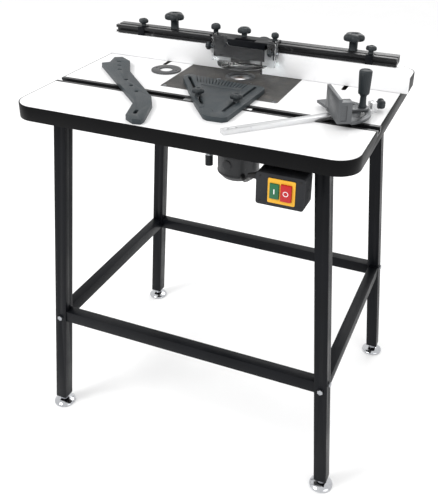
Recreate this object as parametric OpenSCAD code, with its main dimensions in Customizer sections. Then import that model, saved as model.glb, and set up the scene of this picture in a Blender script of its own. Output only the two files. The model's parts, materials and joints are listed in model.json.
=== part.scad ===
// Floor-standing router table: laminated top on a splayed steel stand, two-face fence with a cutter
// guard, mitre gauge, featherboard, push stick, safety switch and a plunge router under the plate.
// Millimetres, +Z up. The origin is on the floor under the middle of the table top.

/* [Table top] */
// Width of the table top, left to right
top_w = 813; // [800:1:960]
// Depth of the table top, front to back
top_d = 686; // [640:1:800]
// Height of the working surface above the floor
top_h = 930; // [820:1:1060]
// Thickness of the table top with its laminate
top_t = 35; // [28:1:45]
// Radius of the four corners in plan
corner_r = 55; // [20:1:80]
// Thickness of the edge band
edge_t = 3; // [2:0.5:5]
// Thickness of the white laminate
laminate_t = 1.2; // [0.8:0.1:2]

/* [Mitre track] */
// Outside width of the track
track_w = 40; // [34:1:50]
// Depth of the track below the surface
track_t = 14; // [12:1:20]
// Width of the slot, for a three-quarter inch bar
slot_w = 19.3; // [19.1:0.1:20]
// Depth of the slot
slot_t = 10.5; // [10:0.5:11]
// Distance from the front edge of the table to the middle of the slot
slot_from_front = 202; // [170:1:210]

/* [Insert plate] */
// Side of the square insert plate
plate_w = 306; // [290:1:330]
// Thickness of the insert plate
plate_t = 6.35; // [6:0.05:8]
// Distance from the front edge of the table to the cutter axis
cutter_from_front = 412; // [400:1:430]
// Outside diameter of the reducing rings
ring_d = 78; // [70:1:90]
// Thickness of the reducing rings
ring_t = 3; // [2.5:0.5:4]
// Hole in the ring that is fitted
ring_hole_d = 54; // [45:1:60]
// Hole in the spare ring
spare_hole_d = 34; // [20:1:45]

/* [Fence] */
// Length of each fence face
face_l = 375; // [320:1:400]
// Height of the fence faces
face_h = 60; // [50:1:75]
// Thickness of the fence faces
face_t = 14; // [12:1:18]
// Gap between the two faces
face_gap = 90; // [70:1:120]
// Distance from the cutter axis back to the front of the faces
face_back = 39; // [36:1:60]
// Length of the fence extrusion
rail_l = 770; // [700:1:800]
// Height of the top box of the extrusion
box_h = 19; // [18:1:26]
// Depth of the top box of the extrusion
box_d = 42; // [36:1:50]
// Diameter of the clamp bolts
clamp_bolt_d = 8; // [6:1:10]
// Diameter of the star knobs on the clamp bolts
clamp_knob_d = 54; // [44:1:60]
// Outside diameter of the dust port
port_d = 63; // [50:1:70]
// Bore of the dust port
port_bore = 58; // [45:1:60]

/* [Cutter guard] */
// Outside width of the clear shield
guard_w = 174; // [160:1:190]
// Height of the clear shield
guard_h = 66; // [55:1:72]
// Thickness of the clear sheet
guard_t = 3; // [2:0.5:4]
// Radius of the half-round lip over the cutter
lip_r = 64; // [50:1:70]
// Gap under the lip
guard_lift = 29; // [26:1:36]

/* [Stand] */
// Outside width of the stand under the table top
stand_w = 672; // [640:1:700]
// Outside depth of the stand under the table top
stand_d = 548; // [500:1:600]
// How far each foot stands out to the side
splay_x = 70; // [0:1:90]
// How far each foot stands out to the front or back
splay_y = 36; // [0:1:60]
// Side of the square leg tube
leg_s = 32; // [28:1:40]
// Wall of all the steel tubes
tube_wall = 1.6; // [1.2:0.1:2.5]
// Width of the rails
rail_w = 28; // [22:1:28]
// Height of the rails
rail_h = 32; // [26:1:38]
// Height of the top of the lower rails
low_rail_z = 330; // [200:1:420]
// Diameter of the domed feet
foot_d = 60; // [45:1:64]
// Height of the domed feet
foot_h = 14; // [10:1:18]

/* [Switch] */
// Width of the switch box
switch_w = 106; // [80:1:110]
// Height of the switch box
switch_h = 74; // [64:1:90]
// Depth of the switch box
switch_d = 54; // [45:1:56]

/* [Mitre gauge] */
// Width of the bar
bar_w = 19; // [18.8:0.05:19.05]
// Thickness of the bar
bar_t = 9.6; // [9:0.1:10]
// Length of the bar
bar_l = 375; // [300:1:380]
// Length of the flange
flange_l = 102; // [90:1:130]
// Height of the flange
flange_h = 55; // [45:1:65]
// Radius of the half-round protractor
protractor_r = 76; // [70:1:80]
// Angle of the head away from square
head_angle = -16; // [-30:1:30]

/* [Router] */
// Diameter of the motor housing
motor_d = 114; // [100:1:120]
// Diameter of the router base
base_d = 150; // [140:1:170]
// Distance between the plunge columns
column_gap = 176; // [160:1:180]
// Diameter of the plunge columns
column_d = 18; // [14:1:20]
// Bore of the collet, for a half-inch shank
collet_bore = 12.7; // [6.35:0.01:12.7]

/* [Hidden] */
$fn = 64;

// Clearances: seat between fixed pieces, slide between sliding faces, run round a turning shaft
seat = 0.3;
slide = 0.3;
run = 0.08;
big = 2000;

// Colours
steel_black = [0.10, 0.11, 0.12];
slate = [0.33, 0.37, 0.38];
knob_black = [0.13, 0.14, 0.15];
bright_steel = [0.75, 0.76, 0.78];

// Heights and depths that several pieces share
under_z = top_h - top_t;
front_y = -top_d / 2;
slot_y = front_y + slot_from_front;
cutter_y = front_y + cutter_from_front;
plate_seat = 0.4;
plate_ledge = 14;
plate_r = 6;

// ---------------------------------------------------------------- shared shapes

// Rectangle with round corners, centred
module round_rect(w, d, r) {
    square([w - 2 * r, d], center = true);
    square([w, d - 2 * r], center = true);
    for (x = [-1, 1], y = [-1, 1]) {
        translate([x * (w / 2 - r), y * (d / 2 - r)]) circle(r);
    }
}

// Slab with round corners whose underside is at z
module slab(w, d, r, z, h) {
    translate([0, 0, z]) linear_extrude(h) round_rect(w, d, r);
}

// Straight slot with round ends, from y0 to y1 between the centres of its ends
module slot_2d(w, y0, y1) {
    translate([-w / 2, y0]) square([w, y1 - y0]);
    for (y = [y0, y1]) translate([0, y]) circle(w / 2);
}

// Lobed head of a star knob standing on z = 0
module star_head(d, h, lobes) {
    lobe_r = d * 0.17;
    cylinder(d = d * 0.78, h = h);
    for (i = [0 : lobes - 1]) {
        rotate(i * 360 / lobes) translate([d / 2 - lobe_r, 0, 0]) cylinder(r = lobe_r, h = h);
    }
}

knob_cap = 2;

// Star knob on a neck, bored for its stud, closed on top
module star_knob(d, h, neck_d, neck_h, stud_d, lobes) {
    difference() {
        union() {
            cylinder(d = neck_d, h = neck_h + 1);
            translate([0, 0, neck_h]) star_head(d, h, lobes);
            translate([0, 0, neck_h + h]) cylinder(d1 = d * 0.6, d2 = d * 0.45, h = knob_cap);
        }
        translate([0, 0, -1]) cylinder(r = stud_d / 2 + run, h = neck_h + h - 3);
    }
}

// Hexagon-headed bolt along +X, its head seated on x = 0 and its shank running towards -X
module hex_bolt_x(d, l) {
    rotate([0, -90, 0]) cylinder(d = d, h = l);
    rotate([0, 90, 0]) cylinder(d = 1.8 * d, h = 0.65 * d, $fn = 6);
}

// ---------------------------------------------------------------- table top

board_w = top_w - 2 * edge_t;
board_d = top_d - 2 * edge_t;
board_r = corner_r - edge_t;
open_w = plate_w - 2 * plate_ledge;
clamp_slot_w = clamp_bolt_d + 4;
clamp_x = [-223, 269];
clamp_y = cutter_y + face_back + 37;
clamp_slot_front = clamp_y - 64;
clamp_slot_back = clamp_y + 62;
plate_screw_d = 5;
plate_screw_in = 9;
base_screw_d = 6;
base_screw_r = 60;
track_screw_d = 4;
track_screw_x = [-350, -175, 0, 175, 350];

module plate_opening(z, h, w) {
    translate([0, cutter_y, 0]) slab(w, w, plate_r, z, h);
}

module clamp_slots() {
    for (x = clamp_x) {
        translate([x, 0, under_z - 1]) linear_extrude(top_t + 2)
            slot_2d(clamp_slot_w, clamp_slot_front, clamp_slot_back);
    }
}

module track_groove(clear) {
    translate([-big / 2, slot_y - track_w / 2 - clear, top_h - track_t])
        cube([big, track_w + 2 * clear, track_t + 1]);
}

module at_plate_corners() {
    for (x = [-1, 1], y = [-1, 1]) {
        translate([x * (plate_w / 2 - plate_screw_in), cutter_y + y * (plate_w / 2 - plate_screw_in), 0])
            children();
    }
}

module at_base_screws() {
    for (a = [45 : 90 : 315]) translate([0, cutter_y, 0]) rotate(a) translate([base_screw_r, 0, 0]) children();
}

module at_track_screws() {
    for (x = track_screw_x) translate([x, slot_y, top_h - slot_t]) children();
}

module table_board() {
    color([0.62, 0.50, 0.36]) difference() {
        slab(board_w, board_d, board_r, under_z, top_t - laminate_t);
        plate_opening(top_h - plate_t, plate_t + 1, plate_w + 2 * plate_seat);
        plate_opening(under_z - 1, top_t + 2, open_w);
        track_groove(0);
        clamp_slots();
        at_plate_corners() translate([0, 0, top_h - 24]) cylinder(d = plate_screw_d, h = 24);
        at_track_screws() translate([0, 0, -20]) cylinder(d = track_screw_d, h = 20);
        at_top_screws() translate([0, 0, under_z - 1]) cylinder(d = top_screw_d, h = top_screw_in + 2);
    }
}

module top_laminate() {
    color([0.94, 0.95, 0.95]) difference() {
        slab(board_w, board_d, board_r, top_h - laminate_t, laminate_t);
        plate_opening(top_h - plate_t, plate_t + 1, plate_w + 2 * plate_seat);
        track_groove(0);
        clamp_slots();
    }
}

module edge_band() {
    color([0.09, 0.09, 0.10]) difference() {
        slab(top_w, top_d, corner_r, under_z, top_t);
        slab(board_w, board_d, board_r, under_z - 1, top_t + 2);
        track_groove(0);
    }
}

module mitre_track() {
    lip = 3;
    undercut = 5;
    floor_z = top_h - slot_t;
    color(steel_black) difference() {
        translate([-top_w / 2, slot_y - track_w / 2, top_h - track_t]) cube([top_w, track_w, track_t]);
        translate([-big / 2, slot_y - slot_w / 2, floor_z]) cube([big, slot_w, slot_t + 1]);
        translate([-big / 2, slot_y - (slot_w + undercut) / 2, floor_z])
            cube([big, slot_w + undercut, slot_t - 2 * lip]);
        at_track_screws() {
            translate([0, 0, -track_t]) cylinder(d = track_screw_d + 0.4, h = track_t + 1);
            translate([0, 0, -2]) cylinder(d1 = track_screw_d + 0.4, d2 = track_screw_d + 4.4, h = 2);
        }
    }
}

ring_seat = ring_d / 2 + 0.2;
ring_land = 5;

module insert_plate() {
    color([0.30, 0.32, 0.33]) difference() {
        plate_opening(top_h - plate_t, plate_t, plate_w);
        translate([0, cutter_y, top_h - ring_t]) cylinder(r = ring_seat, h = ring_t + 1);
        translate([0, cutter_y, top_h - plate_t - 1]) cylinder(r = ring_d / 2 - ring_land, h = plate_t + 2);
        at_plate_corners() {
            translate([0, 0, top_h - plate_t - 1]) cylinder(d = plate_screw_d + 0.4, h = plate_t + 2);
            translate([0, 0, top_h - 3]) cylinder(d1 = plate_screw_d + 0.4, d2 = plate_screw_d + 6.4, h = 3);
        }
        at_base_screws() {
            translate([0, 0, top_h - plate_t - 1]) cylinder(d = base_screw_d + 0.4, h = plate_t + 2);
            translate([0, 0, top_h - 3]) cylinder(d1 = base_screw_d + 0.4, d2 = base_screw_d + 6.4, h = 3);
        }
    }
}

// Flat reducing ring with two small holes for the key
module reducing_ring(hole_d, x, y, z) {
    key_r = (ring_d / 2 + hole_d / 2) / 2;
    translate([x, y, z]) difference() {
        cylinder(d = ring_d, h = ring_t);
        translate([0, 0, -1]) cylinder(d = hole_d, h = ring_t + 2);
        for (s = [-1, 1]) translate([s * key_r, 0, -1]) cylinder(d = 4, h = ring_t + 2);
    }
}

spare_x = -plate_w / 2 - ring_d / 2 - 3;
spare_y = cutter_y - 35;

module insert_ring() {
    color([0.34, 0.36, 0.37]) reducing_ring(ring_hole_d, 0, cutter_y, top_h - ring_t);
}

module spare_ring() {
    color([0.40, 0.41, 0.41]) reducing_ring(spare_hole_d, spare_x, spare_y, top_h);
}

// Countersunk socket screw whose head is flush with z = 0
module flat_screw(d, l) {
    difference() {
        union() {
            translate([0, 0, -l]) cylinder(d = d - 0.1, h = l - 0.5);
            translate([0, 0, -3.1]) cylinder(d1 = d - 0.1, d2 = d + 5, h = 2.9);
        }
        translate([0, 0, -2.2]) cylinder(d = d * 0.65, h = 3, $fn = 6);
    }
}

module top_screws() {
    color(bright_steel) {
        at_plate_corners() translate([0, 0, top_h]) flat_screw(plate_screw_d, 22);
        at_base_screws() translate([0, 0, top_h]) flat_screw(base_screw_d, plate_t + base_t - 1);
        at_track_screws() {
            translate([0, 0, -18]) cylinder(d = track_screw_d - 0.1, h = 17);
            translate([0, 0, -2.1]) cylinder(d1 = track_screw_d, d2 = track_screw_d + 3.8, h = 1.9);
        }
    }
}

// ---------------------------------------------------------------- fence

face_y = cutter_y + face_back;
face_z = top_h + 1;
web_y = face_y + face_t + slide;
web_t = 7;
flange_y = web_y + 52;
flange_t = 6;
clip_t = 1.5;
box_y = face_y + 3;
box_z = face_z + face_h + clip_t + 1;
box_top = box_z + box_h;
chip_w = 70;
chip_h = 48;
rail_lift = 0.5;

// T-slots of the extrusion and the square-headed bolts that slide in them
t_mouth = 7;
t_inner = 12;
t_lip = 4;
t_depth = 5;
t_bolt_d = 6;
t_head = 11;
top_slot_y = box_y + 16;
face_stud_x = [-308, 318];
bracket_x = [-94, -14, 70];

module fence_profile() {
    difference() {
        union() {
            translate([box_y, box_z]) square([box_d, box_h]);
            translate([web_y, top_h + rail_lift]) square([web_t, box_z - top_h]);
            translate([web_y, top_h + rail_lift]) square([flange_y - web_y, flange_t]);
        }
        translate([top_slot_y - t_mouth / 2, box_top - t_lip - 1]) square([t_mouth, t_lip + 2]);
        translate([top_slot_y - t_inner / 2, box_top - t_lip - t_depth]) square([t_inner, t_depth]);
        translate([box_y - 1, box_z + box_h / 2 - t_mouth / 2 - 1]) square([5, t_mouth]);
        translate([box_y + 2.5, box_z + box_h / 2 - 6]) square([5, 10]);
        translate([box_y + box_d - 14, box_z + 3]) square([11, box_h - 6]);
    }
}

module fence_rail() {
    color(steel_black) difference() {
        rotate([90, 0, 90]) translate([0, 0, -rail_l / 2]) linear_extrude(rail_l) fence_profile();
        translate([-chip_w / 2, web_y - 1, top_h - 1]) cube([chip_w, web_t + 2, chip_h + 1]);
        translate([-hood_w / 2 - seat, web_y + web_t, top_h - 1])
            cube([hood_w + 2 * seat, flange_y - web_y, flange_t + 3]);
        for (x = clamp_x) translate([x, clamp_y, top_h - 1]) cylinder(d = clamp_bolt_d + 1, h = 200);
    }
}

// Bolt with a square head in a T-slot, its axis through x, y
module t_bolt(x, y, l) {
    translate([x, y, box_top - t_lip - t_depth + 0.2]) {
        translate([-t_head / 2, -t_head / 2, 0]) cube([t_head, t_head, t_depth - 0.5]);
        cylinder(d = t_bolt_d, h = l);
    }
}

clip_pin_d = 5;
clip_pin_l = 14;
clip_w = 18;

module fence_face(side, i) {
    bevel = 12;
    x0 = face_gap / 2;
    color([0.95, 0.95, 0.95]) difference() {
        translate([side > 0 ? x0 : -x0 - face_l, face_y, face_z]) cube([face_l, face_t, face_h]);
        translate([side * x0, web_y, face_z - 1]) rotate(45)
            translate([-bevel / 2, -bevel / 2, 0]) cube([bevel, bevel, face_h + 2]);
        translate([face_stud_x[i], face_y + face_t / 2, face_z + face_h - clip_pin_l - 1])
            cylinder(d = clip_pin_d + 0.1, h = clip_pin_l + 2);
    }
}

module fence_face_left() { fence_face(-1, 0); }
module fence_face_right() { fence_face(1, 1); }

// Z-shaped strap from the T-bolt over the front of the box to the top edge of the face
module face_clip(i) {
    clip_front = box_y - slide - clip_t;
    face_top = face_z + face_h;
    color(steel_black) difference() {
        union() {
            translate([face_stud_x[i] - clip_w / 2, clip_front, box_top])
                cube([clip_w, top_slot_y + t_bolt_d + 4 - clip_front, clip_t]);
            translate([face_stud_x[i] - clip_w / 2, clip_front, face_top])
                cube([clip_w, clip_t, box_top + clip_t - face_top]);
            translate([face_stud_x[i] - clip_w / 2, clip_front, face_top])
                cube([clip_w, face_y + face_t - clip_front - 1, clip_t]);
            translate([face_stud_x[i], face_y + face_t / 2, face_top - clip_pin_l])
                cylinder(d = clip_pin_d, h = clip_pin_l + clip_t);
        }
        translate([face_stud_x[i], top_slot_y, box_top - 1]) cylinder(d = t_bolt_d + 0.4, h = clip_t + 2);
    }
    color(bright_steel) t_bolt(face_stud_x[i], top_slot_y, 22);
}

module face_clip_left() { face_clip(0); }
module face_clip_right() { face_clip(1); }

module clamp_knob(i) {
    color(knob_black) translate([clamp_x[i], clamp_y, box_top + seat])
        star_knob(clamp_knob_d, 17, 21, 22, clamp_bolt_d, 6);
}

module clamp_knob_left() { clamp_knob(0); }
module clamp_knob_right() { clamp_knob(1); }

// Clamp bolts with their plates and nuts, and the studs of the cutter guard
module fence_bolts() {
    clamp_plate_t = 5;
    clamp_nut_h = 6.5;
    plate_side = 40;
    bolt_bottom = under_z - clamp_plate_t - clamp_nut_h - 3;
    color(bright_steel) {
        for (x = clamp_x) {
            translate([x, clamp_y, bolt_bottom]) cylinder(d = clamp_bolt_d, h = box_top + 30 - bolt_bottom);
            translate([x, clamp_y, under_z - clamp_plate_t - seat]) difference() {
                translate([-plate_side / 2, -plate_side / 2, 0]) cube([plate_side, plate_side, clamp_plate_t]);
                translate([0, 0, -1]) cylinder(r = clamp_bolt_d / 2 + run, h = clamp_plate_t + 2);
            }
            translate([x, clamp_y, under_z - clamp_plate_t - clamp_nut_h - seat]) difference() {
                cylinder(d = 15, h = clamp_nut_h, $fn = 6);
                translate([0, 0, -1]) cylinder(r = clamp_bolt_d / 2 + run, h = clamp_nut_h + 2);
            }
        }
        for (x = bracket_x) t_bolt(x, top_slot_y, 24);
        for (s = [-1, 1]) translate([0, guard_slot_y, guard_stud_z]) rotate([0, 90, 0]) {
            translate([0, 0, guard_stud_x[s > 0 ? 1 : 0][0]])
                cylinder(d = guard_stud_d, h = guard_stud_x[s > 0 ? 1 : 0][1] - guard_stud_x[s > 0 ? 1 : 0][0]);
            translate([0, 0, s > 0 ? guard_w / 2 + slide : -arm_x + arm_t]) cylinder(d = 11, h = 3);
        }
    }
}

module face_knob(i) {
    color(knob_black) translate([face_stud_x[i], top_slot_y, box_top + clip_t + seat])
        star_knob(27, 11, 14, 6, t_bolt_d, 6);
}

module face_knob_left() { face_knob(0); }
module face_knob_right() { face_knob(1); }

hood_w = 84;
hood_d = 40;
hood_top = top_h + 57;
port_x = 9;
port_z = top_h + port_d / 2 + 3;
port_l = 53;

module dust_port() {
    hood_y = web_y + web_t;
    port_y = hood_y + hood_d;
    wall = 2.5;
    color([0.42, 0.44, 0.45]) difference() {
        union() {
            translate([-hood_w / 2, hood_y, top_h + rail_lift]) cube([hood_w, hood_d, hood_top - top_h]);
            translate([port_x, port_y - 10, port_z]) rotate([-90, 0, 0]) cylinder(d = port_d, h = port_l + 10);
            translate([port_x, port_y + port_l - 4, port_z]) rotate([-90, 0, 0]) cylinder(d = port_d + 3, h = 4);
        }
        translate([-hood_w / 2 + wall, hood_y - 1, top_h]) cube([hood_w - 2 * wall, hood_d + 1 - wall, chip_h]);
        translate([port_x, port_y - wall - 1, port_z]) rotate([-90, 0, 0]) cylinder(d = port_bore, h = port_l + 10);
    }
}

// ---------------------------------------------------------------- cutter guard

shield_y = face_y - 24;
shield_z = top_h + guard_lift;
arm_t = 4;
arm_x = guard_w / 2 - guard_t - slide;
guard_slot_y = face_y - 11;
guard_slot_z = [shield_z + 16, shield_z + 53];
guard_stud_z = shield_z + 32;
guard_stud_d = 6;
guard_stud_x = [[-arm_x - 18, -arm_x + arm_t + 1], [arm_x - 14, guard_w / 2 + slide + 1]];
strap_t = 5;
arm_y = shield_y + guard_t + 2;
apron_t = 1.5;

module guard_bracket() {
    wide_left = arm_x + 21;
    color(steel_black) difference() {
        union() {
            translate([-arm_x, arm_y, box_top]) cube([2 * arm_x, face_y + 3 - arm_y, strap_t]);
            translate([-wide_left, face_y + 2, box_top])
                cube([wide_left + arm_x, top_slot_y + 11 - face_y - 2, strap_t]);
            translate([-arm_x, arm_y, shield_z + 10]) cube([arm_x + 57, apron_t, box_top - shield_z - 9]);
            for (s = [-1, 1]) {
                translate([s > 0 ? arm_x - arm_t : -arm_x, arm_y, shield_z + 18])
                    cube([arm_t, face_y - 0.5 - arm_y, box_top + strap_t - shield_z - 18]);
            }
        }
        for (x = bracket_x) translate([x, top_slot_y, box_top - 1]) cylinder(d = t_bolt_d + 0.4, h = strap_t + 2);
        translate([-28, arm_y + apron_t, box_top - 1]) cube([56, 16, strap_t + 2]);
        translate([-arm_x - 1, guard_slot_y, guard_stud_z]) rotate([0, 90, 0])
            cylinder(d = guard_stud_d + 0.2, h = 2 * arm_x + 2);
    }
}

module guard_shield() {
    cut_x = [-45, 66];
    cut_h = 24;
    cut_r = 9;
    side_d = face_y - shield_y - 1;
    color([0.85, 0.90, 0.92, 0.4]) difference() {
        union() {
            translate([-guard_w / 2, shield_y, shield_z]) cube([guard_w, guard_t, guard_h]);
            for (s = [-1, 1]) {
                translate([s > 0 ? guard_w / 2 - guard_t : -guard_w / 2, shield_y, shield_z])
                    cube([guard_t, side_d, guard_h]);
            }
            intersection() {
                translate([0, shield_y + guard_t, shield_z]) cylinder(r = lip_r + guard_t, h = guard_t);
                translate([-big / 2, shield_y + guard_t - big, shield_z]) cube([big, big, guard_t]);
            }
        }
        translate([(cut_x[0] + cut_x[1]) / 2, shield_y + guard_t + 1, shield_z + guard_h]) rotate([90, 0, 0])
            linear_extrude(guard_t + 2) round_rect(cut_x[1] - cut_x[0], 2 * cut_h, cut_r);
        translate([-guard_w, guard_slot_y, 0]) rotate([90, 0, 90]) linear_extrude(2 * guard_w)
            slot_2d(guard_stud_d + 1.5, guard_slot_z[0], guard_slot_z[1]);
    }
}

module guard_knob(x, d, neck_h) {
    color(knob_black) translate([x, guard_slot_y, guard_stud_z]) rotate([0, -90, 0])
        star_knob(d, 11, 12, neck_h, guard_stud_d, 6);
}

module guard_knob_left() { guard_knob(-guard_w / 2 - slide, 21, 8); }
module guard_knob_right() { guard_knob(arm_x - arm_t - slide, 18, 4); }

module bracket_knob(i, d, h, neck_h) {
    color(knob_black) translate([bracket_x[i], top_slot_y, box_top + strap_t + seat])
        star_knob(d, h, 14, neck_h, t_bolt_d, 6);
}

module bracket_knob_left() { bracket_knob(0, 26, 15, 8); }
module bracket_knob_middle() { bracket_knob(1, 36, 14, 8); }
module bracket_knob_right() { bracket_knob(2, 20, 12, 5); }

// ---------------------------------------------------------------- featherboard

feather_t = 12;
// The two slots: x of the stud, turn from the -Y axis, and reach in front of and behind the stud
shoe_x = [-22, 74];
slot_turn = [33.75, -2.2];
slot_reach = [[54, 143], [70, 112]];
feather_stud_d = 6;
tooth_n = 16;
tooth_pitch = 9.4;
shoe_l = 76;
shoe_w = slot_w - 0.4;

module feather_slot(i) {
    translate([shoe_x[i], slot_y]) rotate(180 + slot_turn[i])
        slot_2d(feather_stud_d + 1, -slot_reach[i][1], slot_reach[i][0]);
}

// Board with a comb of slanted springy fingers along its back edge
module featherboard() {
    ear_y = slot_y + 130;
    comb_y = slot_y + 141;
    root_y = slot_y + 92;
    color(slate) translate([0, 0, top_h]) linear_extrude(feather_t) difference() {
        polygon([
            [-119, ear_y - 8], [-113, ear_y + 8], [-100, comb_y - 2], [58, comb_y - 18], [68, ear_y - 4],
            [94, ear_y - 8], [102, ear_y - 18], [102, root_y - 6], [94, slot_y - 100],
            [85, slot_y - 110], [50, slot_y - 112], [38, slot_y - 106], [-12, slot_y - 41], [-112, ear_y - 24]
        ]);
        for (i = [0 : tooth_n - 1]) {
            translate([-66 + i * (tooth_pitch - 1.6), root_y - i * 0.2]) rotate(29 - i * 2) square([2, 70]);
        }
        for (i = [0, 1]) feather_slot(i);
    }
}

module feather_knob(i) {
    color(knob_black) translate([shoe_x[i], slot_y, top_h + feather_t + seat])
        star_knob(30, 12, 15, 4, feather_stud_d, 6);
}

module feather_knob_left() { feather_knob(0); }
module feather_knob_right() { feather_knob(1); }

module feather_shoe(i) {
    shoe_h = 8;
    color(bright_steel) {
        translate([shoe_x[i] - shoe_l / 2, slot_y - shoe_w / 2, top_h - slot_t + 0.2])
            cube([shoe_l, shoe_w, shoe_h]);
        translate([shoe_x[i], slot_y, top_h - slot_t + shoe_h]) cylinder(d = feather_stud_d, h = 26);
    }
}

module feather_shoe_left() { feather_shoe(0); }
module feather_shoe_right() { feather_shoe(1); }

// ---------------------------------------------------------------- push stick

stick_t = 12;
stick_pos = [-140, -234];
stick_turn = -45;

module push_stick() {
    color(slate) translate([stick_pos[0], stick_pos[1], top_h]) rotate(stick_turn) linear_extrude(stick_t)
        difference() {
            polygon([
                [-313, 0], [-313, 22], [-352, 45], [-346, 65], [-303, 74], [-218, 50], [-13, 45],
                [28, 34], [108, -8], [120, -20], [109, -36], [80, -42], [0, 0]
            ]);
            for (i = [0 : 2]) translate([-308 + 34 * i, 45 - 8 * i]) rotate(50) square([12, 5], center = true);
            for (i = [0 : 2]) translate([-153 + 46 * i, 23]) circle(5);
            translate([70, -16]) rotate(60) slot_2d(9, -8, 8);
        }
}

// ---------------------------------------------------------------- mitre gauge

gauge_pos = [109, -308];
gauge_turn = 45.5;
pivot_u = 276;
arc_u = 58;
protractor_t = 6;
head_t = 6;
pivot_d = 10;
handle_stud_d = 8;
gauge_z = top_h + 0.05;
protractor_z = gauge_z + bar_t;
head_z = protractor_z + protractor_t + slide;
handle_z = head_z + head_t + seat;
end_screw_d = 6;
end_screw_z = top_h + 16;

module at_gauge() {
    translate([gauge_pos[0], gauge_pos[1], 0]) rotate(gauge_turn) children();
}

module at_pivot() {
    at_gauge() translate([pivot_u, 0, 0]) children();
}

module mitre_bar() {
    stop_t = 12;
    color(bright_steel) at_gauge() {
        difference() {
            translate([0, -bar_w / 2, gauge_z]) cube([bar_l, bar_w, bar_t]);
            for (u = [14, 34]) translate([u, 0, gauge_z - 1]) cylinder(d = 5, h = bar_t + 2);
        }
        translate([pivot_u, 0, protractor_z]) cylinder(d = pivot_d, h = handle_z - protractor_z + 0.5);
        translate([pivot_u, 0, handle_z]) cylinder(d = pivot_d + 7, h = 3);
        translate([bar_l - stop_t, -bar_w / 2, protractor_z]) cube([stop_t, bar_w, 14]);
        translate([bar_l - 1, 0, end_screw_z]) rotate([0, 90, 0]) cylinder(d = end_screw_d, h = 17);
    }
}

// Half-round plate fixed to the bar, with the arc slot that the handle's stud runs in
module mitre_protractor() {
    slot_r = handle_stud_d / 2 + 0.6;
    reach = 62;
    color([0.60, 0.62, 0.63]) at_pivot() translate([0, 0, protractor_z]) difference() {
        intersection() {
            cylinder(r = protractor_r, h = protractor_t);
            translate([-8, -big / 2, -1]) cube([big, big, protractor_t + 2]);
        }
        translate([0, 0, -1]) cylinder(r = pivot_d / 2 + 0.1, h = protractor_t + 2);
        translate([0, 0, -1]) rotate(-reach) rotate_extrude(angle = 2 * reach)
            translate([arc_u - slot_r, 0]) square([2 * slot_r, protractor_t + 2]);
        for (a = [-reach, reach]) rotate(a) translate([arc_u, 0, -1]) cylinder(r = slot_r, h = protractor_t + 2);
    }
}

// Cast fence of the gauge: upright flange, end block with a recess, and a tongue to the handle
module mitre_head() {
    plate_thick = 8;
    plate_x = -13 - plate_thick;
    near = -flange_l * 0.82;
    block_d = 24;
    block_h = flange_h - 7;
    color([0.62, 0.64, 0.65]) at_pivot() rotate(head_angle) difference() {
        union() {
            translate([plate_x, near, head_z]) cube([plate_thick, flange_l, flange_h]);
            translate([plate_x + 1, near, head_z]) cube([block_d, flange_l, head_t]);
            translate([plate_x + plate_thick - 1, near, head_z]) cube([block_d, block_d, block_h]);
            translate([0, 0, head_z]) cylinder(r = 24, h = head_t);
            translate([0, -15, head_z]) cube([arc_u, 30, head_t]);
            translate([arc_u, 0, head_z]) cylinder(r = 15, h = head_t);
            for (y = [-14, 10]) translate([plate_x + 1, y, head_z]) cube([block_d - 4, 5, flange_h - 22]);
        }
        translate([0, 0, head_z - 1]) cylinder(r = pivot_d / 2 + run, h = head_t + 2);
        translate([0, 0, head_z + head_t]) cylinder(r = pivot_d / 2 + 5, h = flange_h);
        translate([arc_u, 0, head_z - 1]) cylinder(r = handle_stud_d / 2 + 0.2, h = head_t + 2);
        translate([plate_x + plate_thick - 2, near - 1, head_z + head_t]) cube([14, 4, block_h - head_t - 8]);
    }
}

module mitre_handle() {
    stem_h = 30;
    grip_h = 55;
    nut_h = 4;
    color(knob_black) at_pivot() rotate(head_angle) translate([arc_u, 0, handle_z]) {
        cylinder(d = 14, h = stem_h + 1);
        translate([0, 0, stem_h]) cylinder(d1 = 25, d2 = 30, h = grip_h - 4);
        translate([0, 0, stem_h + grip_h - 4]) cylinder(d1 = 30, d2 = 24, h = 4);
        translate([0, 0, protractor_z + 0.5 - handle_z])
            cylinder(d = handle_stud_d, h = handle_z - protractor_z);
    }
}

module mitre_end_knob() {
    color(knob_black) at_gauge() translate([bar_l + seat, 0, end_screw_z]) rotate([0, 90, 0])
        star_knob(26, 14, 13, 8, end_screw_d, 6);
}

// ---------------------------------------------------------------- stand

leg_len = sqrt(splay_x * splay_x + splay_y * splay_y + under_z * under_z);
leg_bottom = foot_h + 12;
foot_stud_d = 10;
bolt_d = 8;
bolt_l = leg_s + 18;
rail_plug = 26;
up_rail_z = under_z;
bolt_step = 7;
top_screw_d = 6;
top_screw_in = 16;
top_screw_x = [-170, 120];
top_screw_y = [-130, 130];

// Half distances between leg centres at height z
function leg_cx(z) = stand_w / 2 - leg_s / 2 + splay_x * (under_z - z) / under_z;
function leg_cy(z) = stand_d / 2 - leg_s / 2 + splay_y * (under_z - z) / under_z;

// Frame of one leg: +Z up its centre line, from the floor
module at_leg(ix, iy) {
    translate([ix * leg_cx(0), iy * leg_cy(0), 0])
        rotate([asin(iy * splay_y / leg_len), atan2(-ix * splay_x, under_z), 0]) children();
}

function along(z) = z * leg_len / under_z;
bolt_heights = [low_rail_z - rail_h / 2, up_rail_z - rail_h / 2];

module leg_envelope(ix, iy) {
    at_leg(ix, iy) translate([-leg_s / 2, -leg_s / 2, -60]) cube([leg_s, leg_s, leg_len + 120]);
}

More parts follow.
